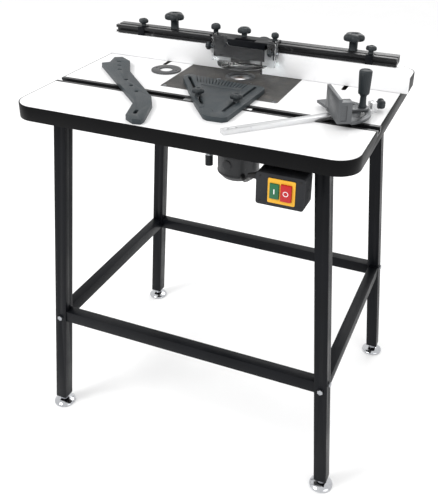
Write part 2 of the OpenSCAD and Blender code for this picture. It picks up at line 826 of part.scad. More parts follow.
module leg_bolt_holes(ix, iy, clear) {
    at_leg(ix, iy) for (z = bolt_heights) {
        translate([-60, 0, along(z) + bolt_step]) rotate([0, 90, 0]) cylinder(d = bolt_d + clear, h = 120);
        translate([0, 60, along(z) - bolt_step]) rotate([90, 0, 0]) cylinder(d = bolt_d + clear, h = 120);
    }
}

module leg(ix, iy) {
    inner = leg_s - 2 * tube_wall;
    plug_top = leg_bottom + 34;
    color(steel_black) difference() {
        intersection() {
            leg_envelope(ix, iy);
            translate([-big / 2, -big / 2, leg_bottom]) cube([big, big, under_z - leg_bottom]);
        }
        at_leg(ix, iy) translate([-inner / 2, -inner / 2, plug_top]) cube([inner, inner, leg_len]);
        leg_bolt_holes(ix, iy, 0.4);
        translate([ix * leg_cx(leg_bottom), iy * leg_cy(leg_bottom), leg_bottom - 1])
            cylinder(r = foot_stud_d / 2 + run, h = 31);
    }
}

module leg_front_left() { leg(-1, -1); }
module leg_front_right() { leg(1, -1); }
module leg_back_left() { leg(-1, 1); }
module leg_back_right() { leg(1, 1); }

// Rail along X between the front or the back legs, with its top at z
module rail_along_x(iy, z) {
    mid = z - rail_h / 2;
    half = leg_cx(mid);
    inner_w = rail_w - 2 * tube_wall;
    difference() {
        translate([-half, iy * leg_cy(mid) - rail_w / 2, z - rail_h]) cube([2 * half, rail_w, rail_h]);
        translate([-half + rail_plug + leg_s / 2, iy * leg_cy(mid) - inner_w / 2, z - rail_h + tube_wall])
            cube([2 * (half - rail_plug) - leg_s, inner_w, rail_h - 2 * tube_wall]);
        for (ix = [-1, 1]) {
            leg_envelope(ix, iy);
            leg_bolt_holes(ix, iy, 0.2);
        }
    }
}

// Rail along Y between the left or the right legs, with its top at z
module rail_along_y(ix, z) {
    mid = z - rail_h / 2;
    half = leg_cy(mid);
    inner_w = rail_w - 2 * tube_wall;
    difference() {
        translate([ix * leg_cx(mid) - rail_w / 2, -half, z - rail_h]) cube([rail_w, 2 * half, rail_h]);
        translate([ix * leg_cx(mid) - inner_w / 2, -half + rail_plug + leg_s / 2, z - rail_h + tube_wall])
            cube([inner_w, 2 * (half - rail_plug) - leg_s, rail_h - 2 * tube_wall]);
        for (iy = [-1, 1]) {
            leg_envelope(ix, iy);
            leg_bolt_holes(ix, iy, 0.2);
        }
    }
}

module low_rails_long() {
    color(steel_black) for (iy = [-1, 1]) rail_along_x(iy, low_rail_z);
}

module low_rails_side() {
    color(steel_black) for (ix = [-1, 1]) rail_along_y(ix, low_rail_z);
}

module upper_rails() {
    color(steel_black) difference() {
        union() {
            for (iy = [-1, 1]) rail_along_x(iy, up_rail_z);
            for (ix = [-1, 1]) rail_along_y(ix, up_rail_z);
        }
        at_top_screws() translate([0, 0, under_z - rail_h - 1])
            cylinder(d = top_screw_d + 0.4, h = rail_h + 2);
    }
}

// Screws that hold the stand to the table top, through the upper rails
module at_top_screws() {
    mid = up_rail_z - rail_h / 2;
    for (x = top_screw_x, iy = [-1, 1]) translate([x, iy * leg_cy(mid), 0]) children();
    for (y = top_screw_y, ix = [-1, 1]) translate([ix * leg_cx(mid), y, 0]) children();
}

module frame_bolts() {
    color(steel_black) for (ix = [-1, 1], iy = [-1, 1]) at_leg(ix, iy) for (z = bolt_heights) {
        translate([ix * leg_s / 2, 0, along(z) + bolt_step]) rotate(ix > 0 ? 0 : 180) hex_bolt_x(bolt_d, bolt_l);
        translate([0, iy * leg_s / 2, along(z) - bolt_step]) rotate(iy * 90) hex_bolt_x(bolt_d, bolt_l);
    }
    color(steel_black) at_top_screws() translate([0, 0, under_z - rail_h]) {
        cylinder(d = top_screw_d - 0.1, h = rail_h + top_screw_in);
        translate([0, 0, -3]) cylinder(d = 2.2 * top_screw_d, h = 3);
    }
}

// Domed levelling foot whose stud screws into the plug of its leg
module foot(ix, iy) {
    rim = 4;
    color([0.82, 0.83, 0.85]) translate([ix * leg_cx(leg_bottom), iy * leg_cy(leg_bottom), 0]) {
        cylinder(d = foot_d, h = rim);
        translate([0, 0, rim]) intersection() {
            cylinder(d = foot_d, h = foot_h - rim);
            translate([0, 0, -foot_d * 0.72]) sphere(r = foot_d * 0.72 + foot_h - rim);
        }
        cylinder(d = foot_stud_d, h = leg_bottom + 26);
        translate([0, 0, foot_h - 1]) cylinder(d = 19, h = 8, $fn = 6);
    }
}

module foot_front_left() { foot(-1, -1); }
module foot_front_right() { foot(1, -1); }
module foot_back_left() { foot(-1, 1); }
module foot_back_right() { foot(1, 1); }

// ---------------------------------------------------------------- switch

rail_face_y = -leg_cy(up_rail_z - rail_h / 2) - rail_w / 2;
bracket_t = 4;
switch_y = rail_face_y - bracket_t - switch_d;
switch_x = leg_cx(under_z) - leg_s / 2 - 1 - switch_w / 2;
switch_z = under_z - 24 - switch_h;
switch_mid_z = switch_z + switch_h / 2;
plate_face_x = switch_x + 4;
plate_face_w = 60;
plate_face_h = 56;
plate_face_t = 2;
box_wall = 3;
button_x = [-15, 11];
button_size = [[20, 34], [23, 37]];
button_out = [3, 5];
button_play = 0.5;
cord_d = 9;
gland_z = 848;
gland_l = 9;

module switch_bracket() {
    color(steel_black) translate([switch_x - 35, rail_face_y - bracket_t, switch_z + 6])
        cube([70, bracket_t, under_z - switch_z - 6]);
}

module button_block(i, grow, y0, depth) {
    w = button_size[i][0] + 2 * grow;
    h = button_size[i][1] + 2 * grow;
    translate([plate_face_x + button_x[i] - w / 2, y0, switch_mid_z - h / 2]) cube([w, depth, h]);
}

module switch_box() {
    gland_y = switch_y + switch_d / 2;
    color([0.16, 0.17, 0.18]) difference() {
        union() {
            translate([switch_x, switch_y + switch_d, switch_z + switch_h / 2]) rotate([90, 0, 0])
                linear_extrude(switch_d) round_rect(switch_w, switch_h, 6);
            translate([switch_x - switch_w / 2 - gland_l, gland_y, gland_z]) rotate([0, 90, 0])
                cylinder(d = 18, h = gland_l + 1);
        }
        translate([switch_x - switch_w / 2 + box_wall, switch_y + box_wall, switch_z + box_wall])
            cube([switch_w - 2 * box_wall, switch_d - 2 * box_wall, switch_h - 2 * box_wall]);
        for (i = [0, 1]) button_block(i, button_play, switch_y - 1, box_wall + 2);
    }
}

module switch_plate() {
    color([0.88, 0.74, 0.16]) difference() {
        translate([plate_face_x, switch_y, switch_mid_z]) rotate([90, 0, 0])
            linear_extrude(plate_face_t) round_rect(plate_face_w, plate_face_h, 3);
        for (i = [0, 1]) button_block(i, button_play, switch_y - plate_face_t - 1, plate_face_t + 2);
    }
}

// Rocker-style push button with a retaining foot behind the front wall
module button(i) {
    out = plate_face_t + button_out[i];
    button_block(i, 0, switch_y - out, out + box_wall + 7);
    button_block(i, 0.9, switch_y + box_wall + 0.2, 3);
}

module green_button() { color([0.12, 0.55, 0.24]) button(0); }
module red_button() { color([0.75, 0.12, 0.12]) button(1); }

// ---------------------------------------------------------------- router

base_t = 10;
base_z = top_h - plate_t - base_t;
column_bottom = base_z - 250;
carriage_z = base_z - 152;
carriage_h = 44;
motor_top = base_z - 42;
motor_bottom = base_z - 263;
rim_h = 14;
nose_h = 24;
boss_d = column_d + 16;
handle_reach = column_gap / 2 + boss_d / 2;
handle_pin_d = 10;
spindle_d = 16;
gland_angle = -57;
motor_gland_z = 672;

module router_base() {
    color([0.55, 0.56, 0.57]) translate([0, cutter_y, 0]) {
        difference() {
            union() {
                translate([0, 0, base_z]) cylinder(d = base_d, h = base_t);
                translate([-column_gap / 2 - 16, -22, base_z]) cube([column_gap + 32, 44, base_t]);
            }
            translate([0, 0, base_z - 1]) cylinder(d = 62, h = base_t + 2);
            for (s = [-1, 1]) translate([s * column_gap / 2, 0, base_z - 1])
                cylinder(d = column_d + 0.1, h = base_t - 1);
            translate([0, -cutter_y, 0]) at_base_screws()
                translate([0, 0, base_z - 1]) cylinder(d = base_screw_d, h = base_t + 2);
        }
        for (s = [-1, 1]) translate([s * column_gap / 2, 0, column_bottom])
            cylinder(d = column_d, h = base_z - column_bottom + base_t - 3);
    }
}

module router_motor() {
    body_top = motor_top - nose_h;
    lever_boss_y = motor_d / 2 + 4;
    color([0.13, 0.14, 0.16]) translate([0, cutter_y, 0]) difference() {
        union() {
            translate([0, 0, motor_bottom]) cylinder(d1 = motor_d - 26, d2 = motor_d, h = rim_h);
            translate([0, 0, motor_bottom + rim_h]) cylinder(d = motor_d, h = body_top - motor_bottom - rim_h);
            translate([0, 0, body_top]) cylinder(d1 = motor_d - 16, d2 = 46, h = nose_h);
            for (s = [-1, 1]) translate([s * column_gap / 2, 0, carriage_z]) cylinder(d = boss_d, h = carriage_h);
            translate([-column_gap / 2, -13, carriage_z + 4]) cube([column_gap, 26, carriage_h - 8]);
            for (a = [-101, 79]) rotate(a) translate([motor_d / 2 - 6, 0, 700]) rotate([0, 90, 0])
                cylinder(d = 26, h = 9);
            rotate(gland_angle) translate([motor_d / 2 - 6, 0, motor_gland_z]) rotate([0, 90, 0])
                cylinder(d = 15, h = 16);
            translate([0, motor_d / 2 - 8, lever_z]) rotate([-90, 0, 0]) cylinder(d = 22, h = 12);
            translate([0, lever_boss_y - 1, lever_z]) rotate([-90, 0, 0]) cylinder(d = lever_pin_d, h = 11);
        }
        for (s = [-1, 1]) {
            translate([s * column_gap / 2, 0, motor_bottom - 1]) cylinder(r = column_d / 2 + run, h = 300);
            translate([s * (handle_reach - 7), 0, carriage_z + carriage_h / 2]) rotate([0, s * 90, 0])
                cylinder(d = handle_pin_d + 0.1, h = 12);
        }
        translate([0, 0, motor_top - 30]) cylinder(r = spindle_d / 2 + run, h = 60);
    }
}

module collet() {
    color([0.72, 0.55, 0.38]) translate([0, cutter_y, 0]) difference() {
        union() {
            translate([0, 0, motor_top - 29]) cylinder(d = spindle_d, h = 40);
            translate([0, 0, motor_top + 2]) cylinder(d = 28, h = 16);
            translate([0, 0, motor_top + 18]) cylinder(d = 27, h = 18, $fn = 6);
            translate([0, 0, motor_top + 36]) cylinder(d1 = 24, d2 = 19, h = 8);
        }
        translate([0, 0, motor_top + 6]) cylinder(d = collet_bore, h = 60);
    }
}

module router_handles() {
    color(knob_black) translate([0, cutter_y, carriage_z + carriage_h / 2]) for (a = [0, 180]) rotate(a)
        translate([handle_reach, 0, 0]) rotate([0, 90, 0]) {
            translate([0, 0, -6.5]) cylinder(d = handle_pin_d, h = 8);
            translate([0, 0, seat]) cylinder(d = 16, h = 8);
            translate([0, 0, 6]) cylinder(d1 = 24, d2 = 36, h = 12);
            translate([0, 0, 18]) cylinder(d = 36, h = 12);
            translate([0, 0, 30]) cylinder(d1 = 36, d2 = 22, h = 8);
        }
}

lever_z = carriage_z + 60;
lever_pin_d = 8;

module plunge_lever() {
    color(knob_black) translate([0, cutter_y + motor_d / 2 + 4 + seat, lever_z]) difference() {
        union() {
            rotate([-90, 0, 0]) cylinder(d = 20, h = 8);
            translate([-5, 0, -46]) cube([10, 8, 46]);
        }
        translate([0, -1, 0]) rotate([-90, 0, 0]) cylinder(r = lever_pin_d / 2 + run, h = 12);
    }
}

// Cord from the motor's gland to the gland of the switch box, in millimetres
cord_points = [
    [37, 12, 672], [44, 1, 674], [52, -16, 681], [66, -46, 697], [82, -80, 716], [98, -114, 736],
    [113, -148, 756], [128, -182, 775], [142, -214, 793], [154, -244, 809], [164, -270, 823],
    [172, -290, 835], [180, -302, 845], [188, -304, 848]
];

module router_cord() {
    color([0.10, 0.10, 0.11]) sweep(smooth_route(cord_points, 2), cord_d / 2, 8);
}

// Points of a smooth curve through the route, n to each stretch
function route_at(p, i) = p[min(max(i, 0), len(p) - 1)];
function curve(a, b, c, d, t) =
    0.5 * (2 * b + (c - a) * t + (2 * a - 5 * b + 4 * c - d) * t * t + (3 * b - a - 3 * c + d) * t * t * t);
function smooth_route(p, n) = [
    for (i = [0 : len(p) - 2]) for (k = [0 : n - 1])
        curve(route_at(p, i - 1), p[i], p[i + 1], route_at(p, i + 2), k / n),
    p[len(p) - 1]
];
function unit(v) = v / norm(v);

// Tube of radius r along the points, closed at both ends
module sweep(p, r, sides) {
    n = len(p);
    dirs = [for (i = [0 : n - 1]) unit(p[min(i + 1, n - 1)] - p[max(i - 1, 0)])];
    rings = [
        for (i = [0 : n - 1])
            let (u = unit(cross([0, 0, 1], dirs[i])), v = cross(dirs[i], u))
            for (k = [0 : sides - 1]) p[i] + r * (cos(360 * k / sides) * u + sin(360 * k / sides) * v)
    ];
    walls = [
        for (i = [0 : n - 2]) for (k = [0 : sides - 1])
            [i * sides + k, (i + 1) * sides + k, (i + 1) * sides + (k + 1) % sides, i * sides + (k + 1) % sides]
    ];
    caps = [[for (k = [0 : sides - 1]) k], [for (k = [sides - 1 : -1 : 0]) (n - 1) * sides + k]];
    polyhedron(rings, concat(walls, caps));
}

// ---------------------------------------------------------------- parts

table_board();
top_laminate();
edge_band();
mitre_track();
insert_plate();
insert_ring();
spare_ring();
top_screws();
fence_rail();
fence_face_left();
fence_face_right();
face_clip_left();
face_clip_right();
clamp_knob_left();
clamp_knob_right();
fence_bolts();
face_knob_left();
face_knob_right();
dust_port();
guard_bracket();
guard_shield();
guard_knob_left();
guard_knob_right();
bracket_knob_left();
bracket_knob_middle();
bracket_knob_right();
featherboard();
feather_knob_left();
feather_knob_right();
feather_shoe_left();
feather_shoe_right();
push_stick();
mitre_bar();
mitre_protractor();
mitre_head();
mitre_handle();
mitre_end_knob();
leg_front_left();
leg_front_right();
leg_back_left();
leg_back_right();
low_rails_long();
low_rails_side();
upper_rails();
frame_bolts();
foot_front_left();
foot_front_right();
foot_back_left();
foot_back_right();
switch_bracket();
switch_box();
switch_plate();
green_button();
red_button();
router_base();
router_motor();
collet();
router_handles();
plunge_lever();
router_cord();
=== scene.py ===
"""Looks of a floor-standing router table: finishes, rounded pieces, knobs, motor and cord."""

import json
import logging
import math
from dataclasses import dataclass, field
from enum import Enum
from typing import Callable

import bmesh
import bpy
from mathutils import Matrix, Vector


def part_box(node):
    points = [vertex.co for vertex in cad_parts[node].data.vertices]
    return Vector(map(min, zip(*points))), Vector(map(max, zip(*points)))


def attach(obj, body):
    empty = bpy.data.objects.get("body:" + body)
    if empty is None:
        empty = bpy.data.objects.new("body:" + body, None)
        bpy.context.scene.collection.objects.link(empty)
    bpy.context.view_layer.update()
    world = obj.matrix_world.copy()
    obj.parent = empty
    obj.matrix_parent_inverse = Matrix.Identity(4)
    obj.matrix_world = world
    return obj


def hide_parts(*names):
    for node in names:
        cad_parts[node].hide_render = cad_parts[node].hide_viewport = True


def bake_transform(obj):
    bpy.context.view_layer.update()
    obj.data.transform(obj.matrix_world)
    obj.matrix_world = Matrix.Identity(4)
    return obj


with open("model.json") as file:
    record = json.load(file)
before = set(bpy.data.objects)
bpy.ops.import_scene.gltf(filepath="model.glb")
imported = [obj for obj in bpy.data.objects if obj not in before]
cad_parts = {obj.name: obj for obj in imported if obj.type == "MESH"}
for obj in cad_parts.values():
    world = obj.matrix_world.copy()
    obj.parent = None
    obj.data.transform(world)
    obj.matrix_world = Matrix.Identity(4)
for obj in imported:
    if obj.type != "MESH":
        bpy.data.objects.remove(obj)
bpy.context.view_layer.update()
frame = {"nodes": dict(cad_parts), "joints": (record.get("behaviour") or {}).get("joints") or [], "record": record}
NODES = frame["nodes"]
RECORD = frame["record"]
BODY_OF = {n: b for b, members in RECORD["behaviour"]["bodies"].items() for n in members}
JOINTS = {j["name"]: j for j in frame["joints"]}
SLOT_OF = {s["node"]: s["material_slot"] for s in RECORD["subparts"]}

MM = 0.001
LOG = logging.getLogger("router_table")

Colour = tuple[float, float, float]
Group = tuple[bpy.types.NodeTree, bpy.types.Node, bpy.types.Node]

COAT_ROUGHNESS = 0.12
SCUFF_ROUGHNESS = 0.3


class Axis(Enum):
    """Direction in which a knob's stud points."""

    UP = (0.0, 0.0, 1.0)
    LEFT = (-1.0, 0.0, 0.0)
    BAR = "bar"


# ------------------------------------------------------------------ shader groups


def new_group(name: str, inputs: dict[str, tuple[str, object]], outputs: dict[str, str]) -> Group:
    """Start a shader node group with named sockets.

    Args:
        name: the group's name.
        inputs: socket name to (socket type, default value).
        outputs: socket name to socket type.

    Returns:
        The group, its input node and its output node.
    """
    tree = bpy.data.node_groups.new(name, "ShaderNodeTree")
    for label, (kind, value) in inputs.items():
        socket = tree.interface.new_socket(name=label, in_out="INPUT", socket_type=kind)
        socket.default_value = value
    for label, kind in outputs.items():
        tree.interface.new_socket(name=label, in_out="OUTPUT", socket_type=kind)
    return tree, tree.nodes.new("NodeGroupInput"), tree.nodes.new("NodeGroupOutput")


def math_node(tree: bpy.types.NodeTree, operation: str, first: object,
              second: object) -> bpy.types.NodeSocket:
    """Add a math node and return its output.

    Args:
        tree: the tree that gets the node.
        operation: the node's operation.
        first: a socket or a number.
        second: a socket or a number.

    Returns:
        The node's output socket.
    """
    node = tree.nodes.new("ShaderNodeMath")
    node.operation = operation
    for socket, value in zip(node.inputs, (first, second)):
        if isinstance(value, bpy.types.NodeSocket):
            tree.links.new(value, socket)
        else:
            socket.default_value = value
    return node.outputs[0]


def ramp_between(tree: bpy.types.NodeTree, value: bpy.types.NodeSocket, low: float,
                 high: float) -> bpy.types.NodeSocket:
    """Map a value so that low becomes 0 and high becomes 1, with a smooth step.

    Args:
        tree: the tree that gets the node.
        value: the socket to map.
        low: value that becomes 0.
        high: value that becomes 1.

    Returns:
        The mapped socket.
    """
    node = tree.nodes.new("ShaderNodeMapRange")
    node.interpolation_type = "SMOOTHSTEP"
    tree.links.new(value, node.inputs["Value"])
    node.inputs["From Min"].default_value = low
    node.inputs["From Max"].default_value = high
    return node.outputs["Result"]


def noise(tree: bpy.types.NodeTree, vector: bpy.types.NodeSocket, scale: object,
          detail: float) -> bpy.types.NodeSocket:
    """Add a noise texture and return its value.

    Args:
        tree: the tree that gets the node.
        vector: the coordinates.
        scale: a socket or a number, in cycles per metre.
        detail: octaves.

    Returns:
        The noise value.
    """
    node = tree.nodes.new("ShaderNodeTexNoise")
    tree.links.new(vector, node.inputs["Vector"])
    if isinstance(scale, bpy.types.NodeSocket):
        tree.links.new(scale, node.inputs["Scale"])
    else:
        node.inputs["Scale"].default_value = scale
    node.inputs["Detail"].default_value = detail
    return node.outputs["Fac"]


def mottle_group() -> bpy.types.NodeTree:
    """Fine grain and broad patches, stretched along an axis where the finish is brushed.

    Returns:
        The node group.
    """
    tree, source, sink = new_group(
        "surface_mottle",
        {"Scale": ("NodeSocketFloat", 600.0), "Stretch": ("NodeSocketVector", (1.0, 1.0, 1.0))},
        {"Grain": "NodeSocketFloat", "Patches": "NodeSocketFloat"},
    )
    place = tree.nodes.new("ShaderNodeTexCoord")
    stretched = tree.nodes.new("ShaderNodeVectorMath")
    stretched.operation = "MULTIPLY"
    tree.links.new(place.outputs["Object"], stretched.inputs[0])
    tree.links.new(source.outputs["Stretch"], stretched.inputs[1])
    grain = noise(tree, stretched.outputs[0], source.outputs["Scale"], 3.0)
    patches = noise(tree, place.outputs["Object"], 9.0, 4.0)
    tree.links.new(ramp_between(tree, grain, 0.3, 0.7), sink.inputs["Grain"])
    tree.links.new(ramp_between(tree, patches, 0.35, 0.65), sink.inputs["Patches"])
    return tree


def scuff_group() -> bpy.types.NodeTree:
    """Short hairline marks from handling, thinned out by patches.

    Returns:
        The node group.
    """
    tree, source, sink = new_group(
        "hairline_scuffs", {"Scale": ("NodeSocketFloat", 60.0)}, {"Mask": "NodeSocketFloat"}
    )
    place = tree.nodes.new("ShaderNodeTexCoord")
    turned = tree.nodes.new("ShaderNodeMapping")
    turned.inputs["Rotation"].default_value = (0.5, 0.3, 0.9)
    turned.inputs["Scale"].default_value = (1.0, 0.06, 0.6)
    tree.links.new(place.outputs["Object"], turned.inputs["Vector"])
    scratches = noise(tree, turned.outputs["Vector"], source.outputs["Scale"], 5.0)
    lines = ramp_between(tree, scratches, 0.63, 0.70)
    worn = ramp_between(tree, noise(tree, place.outputs["Object"], 14.0, 2.0), 0.48, 0.62)
    tree.links.new(math_node(tree, "MULTIPLY", lines, worn), sink.inputs["Mask"])
    return tree


def dust_group() -> bpy.types.NodeTree:
    """Fine wood dust that settles on faces that look up.

    Returns:
        The node group.
    """
    tree, source, sink = new_group(
        "settled_dust", {"Amount": ("NodeSocketFloat", 0.3)}, {"Mask": "NodeSocketFloat"}
    )
    place = tree.nodes.new("ShaderNodeTexCoord")
    shape = tree.nodes.new("ShaderNodeNewGeometry")
    split = tree.nodes.new("ShaderNodeSeparateXYZ")
    tree.links.new(shape.outputs["Normal"], split.inputs["Vector"])
    facing = ramp_between(tree, split.outputs["Z"], 0.35, 1.0)
    drift = ramp_between(tree, noise(tree, place.outputs["Object"], 35.0, 6.0), 0.42, 0.72)
    amount = math_node(tree, "MULTIPLY", math_node(tree, "MULTIPLY", facing, drift), source.outputs["Amount"])
    tree.links.new(amount, sink.inputs["Mask"])
    return tree


# ------------------------------------------------------------------ finishes


@dataclass(frozen=True)
class Finish:
    """A surface: two shades that its grain mixes, how it shines, and how it has worn."""

    slot: str
    light: Colour
    dark: Colour
    roughness: float
    metallic: float = 0.0
    coat: float = 0.0
    specular: float = 0.5
    grain: float = 700.0
    stretch: Colour = (1.0, 1.0, 1.0)
    grain_share: float = 0.5
    relief: float = 0.08
    relief_depth: float = 0.0003
    scuffs: float = 0.12
    scuff_colour: Colour = (0.5, 0.5, 0.5)
    dust: float = 0.06
    roughness_swing: float = 0.12

    DUST_COLOUR = (0.62, 0.54, 0.42, 1.0)

    def mix(self, tree: bpy.types.NodeTree, share: bpy.types.NodeSocket, below: object,
            above: object) -> bpy.types.NodeSocket:
        """Mix two colours by a share and return the colour socket.

        Args:
            tree: the node tree that gets the node.
            share: how much of the second colour shows, 0 to 1.
            below: the first colour, or a socket.
            above: the second colour, or a socket.

        Returns:
            The mixed colour.
        """
        node = tree.nodes.new("ShaderNodeMix")
        node.data_type = "RGBA"
        tree.links.new(share, node.inputs[0])
        for socket, value in ((node.inputs[6], below), (node.inputs[7], above)):
            if isinstance(value, bpy.types.NodeSocket):
                tree.links.new(value, socket)
            else:
                socket.default_value = value if len(value) == 4 else (*value, 1.0)
        return node.outputs[2]

    def group(self, tree: bpy.types.NodeTree, name: str, **values: object) -> bpy.types.Node:
        """Place a shared node group and set its inputs.

        Args:
            tree: the node tree that gets the node.
            name: the name of the new piece or node group.
            **values: input names and their values.

        Returns:
            The placed group.
        """
        node = tree.nodes.new("ShaderNodeGroup")
        node.node_tree = bpy.data.node_groups[name]
        for label, value in values.items():
            node.inputs[label].default_value = value
        return node

    def build(self) -> bpy.types.Material:
        """Make the material.

        Returns:
            The finished material, named after its slot.
        """
        material = bpy.data.materials.new("finish_" + self.slot)
        material.use_nodes = True
        tree = material.node_tree
        shader = tree.nodes["Principled BSDF"]
        mottle = self.group(tree, "surface_mottle", Scale=self.grain, Stretch=self.stretch)
        scuffs = self.group(tree, "hairline_scuffs")
        dust = self.group(tree, "settled_dust", Amount=self.dust)
        blend = math_node(tree, "MULTIPLY", mottle.outputs["Grain"], self.grain_share)
        patchy = math_node(tree, "MULTIPLY", mottle.outputs["Patches"], 1.0 - self.grain_share)
        share = math_node(tree, "ADD", blend, patchy)
        base = self.mix(tree, share, self.dark, self.light)
        worn = math_node(tree, "MULTIPLY", scuffs.outputs["Mask"], self.scuffs)
        scuffed = self.mix(tree, worn, base, self.scuff_colour)
        dusty = self.mix(tree, dust.outputs["Mask"], scuffed, self.DUST_COLOUR)
        tree.links.new(dusty, shader.inputs["Base Color"])
        swing = math_node(tree, "MULTIPLY", mottle.outputs["Patches"], self.roughness_swing)
        rough = math_node(tree, "ADD", swing, self.roughness - self.roughness_swing / 2)
        scuffed_rough = math_node(tree, "ADD", rough, math_node(tree, "MULTIPLY", worn, SCUFF_ROUGHNESS))
        tree.links.new(scuffed_rough, shader.inputs["Roughness"])
        bump = tree.nodes.new("ShaderNodeBump")
        bump.inputs["Strength"].default_value = self.relief
        bump.inputs["Distance"].default_value = self.relief_depth
        tree.links.new(mottle.outputs["Grain"], bump.inputs["Height"])
        tree.links.new(bump.outputs["Normal"], shader.inputs["Normal"])
        shader.inputs["Metallic"].default_value = self.metallic
        shader.inputs["Coat Weight"].default_value = self.coat
        shader.inputs["Coat Roughness"].default_value = COAT_ROUGHNESS
        shader.inputs["Specular IOR Level"].default_value = self.specular
        self.finish_shader(tree, shader)
        return material

    def finish_shader(self, tree: bpy.types.NodeTree, shader: bpy.types.Node) -> None:
        """Leave the shader as it is; a clear finish changes it."""


@dataclass(frozen=True)
class ClearFinish(Finish):
    """A clear moulded sheet that lets light through to what is behind it."""

    ior: float = 1.46
    SHADOW_TINT = (0.9, 0.93, 0.94, 1.0)

    def finish_shader(self, tree: bpy.types.NodeTree, shader: bpy.types.Node) -> None:
        """Turn the shader clear and let shadow rays pass.

        Args:
            tree: the node tree that gets the node.
            shader: the finish's Principled BSDF.
        """
        shader.inputs["Transmission Weight"].default_value = 1.0
        shader.inputs["IOR"].default_value = self.ior
        output = tree.nodes["Material Output"]
        clear = tree.nodes.new("ShaderNodeBsdfTransparent")
        clear.inputs["Color"].default_value = self.SHADOW_TINT
        rays = tree.nodes.new("ShaderNodeLightPath")
        mix = tree.nodes.new("ShaderNodeMixShader")
        tree.links.new(rays.outputs["Is Shadow Ray"], mix.inputs[0])
        tree.links.new(shader.outputs[0], mix.inputs[1])
        tree.links.new(clear.outputs[0], mix.inputs[2])
        tree.links.new(mix.outputs[0], output.inputs["Surface"])


FINISHES = (
    Finish("board", (0.040, 0.034, 0.028), (0.022, 0.018, 0.015), 0.70, grain=900, relief=0.3, specular=0.25),
    Finish("laminate", (0.87, 0.87, 0.87), (0.82, 0.82, 0.825), 0.36, grain=1500, relief=0.03, scuffs=0.10,
           scuff_colour=(0.62, 0.62, 0.62), dust=0.03, coat=0.10),
    Finish("edging", (0.0042, 0.0042, 0.0046), (0.0022, 0.0022, 0.0026), 0.46, grain=900, relief=0.12,
           dust=0.004,
           scuffs=0.04, scuff_colour=(0.06, 0.06, 0.06), coat=0.02, specular=0.08),
    Finish("frame_paint", (0.0050, 0.0058, 0.0078), (0.0026, 0.0030, 0.0042), 0.42, grain=1300, relief=0.25,
           coat=0.04, scuffs=0.04, scuff_colour=(0.07, 0.07, 0.08), dust=0.003, specular=0.11),
    Finish("black_extrusion", (0.014, 0.0145, 0.016), (0.007, 0.007, 0.0075), 0.34, metallic=0.15, grain=500,
           stretch=(0.03, 1.0, 1.0), relief=0.05, dust=0.01, coat=0.12, specular=0.28),
    Finish("plate", (0.062, 0.060, 0.058), (0.032, 0.031, 0.030), 0.52, metallic=0.05, grain=420,
           grain_share=0.8,
           relief=0.25, dust=0.05, specular=0.3),
    Finish("ring", (0.080, 0.082, 0.085), (0.045, 0.047, 0.049), 0.45, metallic=0.1, grain=650, relief=0.12,
           dust=0.04, specular=0.3),
    Finish("fasteners", (0.42, 0.43, 0.45), (0.28, 0.29, 0.31), 0.30, metallic=1.0, grain=900, dust=0.0),
    Finish("face", (0.85, 0.85, 0.855), (0.80, 0.80, 0.805), 0.33, grain=1500, relief=0.03, scuffs=0.08,
           scuff_colour=(0.6, 0.6, 0.6), dust=0.02, coat=0.12),
    Finish("port", (0.050, 0.056, 0.058), (0.026, 0.030, 0.032), 0.42, grain=1100, relief=0.18, dust=0.04,
           specular=0.35),
    ClearFinish("shield", (0.95, 0.96, 0.97), (0.91, 0.93, 0.94), 0.04, grain=90, relief=0.02, scuffs=0.04,
                dust=0.01, roughness_swing=0.02),
    Finish("knob", (0.024, 0.030, 0.034), (0.012, 0.015, 0.017), 0.42, grain=1500, relief=0.25, scuffs=0.08,
           scuff_colour=(0.2, 0.2, 0.2), dust=0.02, specular=0.30),
    Finish("slate_plastic", (0.036, 0.046, 0.052), (0.021, 0.027, 0.031), 0.46, grain=1300, relief=0.28,
           scuffs=0.08, scuff_colour=(0.22, 0.22, 0.22), dust=0.02, specular=0.30),
    Finish("cast", (0.125, 0.130, 0.136), (0.070, 0.074, 0.078), 0.38, metallic=0.55, grain=800, relief=0.25,
           scuffs=0.15, dust=0.0),
    Finish("bar", (0.72, 0.725, 0.73), (0.60, 0.605, 0.61), 0.28, metallic=0.85, grain=900,
           stretch=(1.0, 1.0, 1.0), relief=0.02, dust=0.0, scuffs=0.06),
    Finish("foot_chrome", (0.62, 0.63, 0.65), (0.45, 0.46, 0.48), 0.14, metallic=1.0, grain=500, relief=0.02,
           dust=0.0, scuffs=0.1),
    Finish("switch_case", (0.020, 0.021, 0.024), (0.010, 0.011, 0.013), 0.42, grain=1200, relief=0.3,
           dust=0.01,
           specular=0.22),
    Finish("switch_yellow", (0.82, 0.44, 0.035), (0.68, 0.35, 0.025), 0.36, grain=900, relief=0.05, dust=0.02,
           specular=0.3),
    Finish("green", (0.018, 0.15, 0.065), (0.010, 0.095, 0.04), 0.34, grain=1100, relief=0.08, coat=0.15,
           dust=0.0, specular=0.3),
    Finish("red", (0.50, 0.012, 0.016), (0.33, 0.007, 0.010), 0.34, grain=1100, relief=0.08, coat=0.15,
           dust=0.0, specular=0.3),
    Finish("motor", (0.040, 0.041, 0.043), (0.018, 0.019, 0.021), 0.42, metallic=0.2, grain=900, relief=0.3,
           dust=0.03, specular=0.35),
    Finish("router_metal", (0.36, 0.37, 0.38), (0.24, 0.25, 0.26), 0.34, metallic=0.9, grain=800,
           stretch=(1.0, 1.0, 0.2), relief=0.08, dust=0.0),
    Finish("collet", (0.78, 0.50, 0.33), (0.56, 0.33, 0.20), 0.28, metallic=1.0, grain=700, relief=0.05,
           dust=0.0),
    Finish("cord", (0.016, 0.016, 0.017), (0.009, 0.009, 0.010), 0.50, grain=1300, relief=0.2, dust=0.02,
           specular=0.3),
)


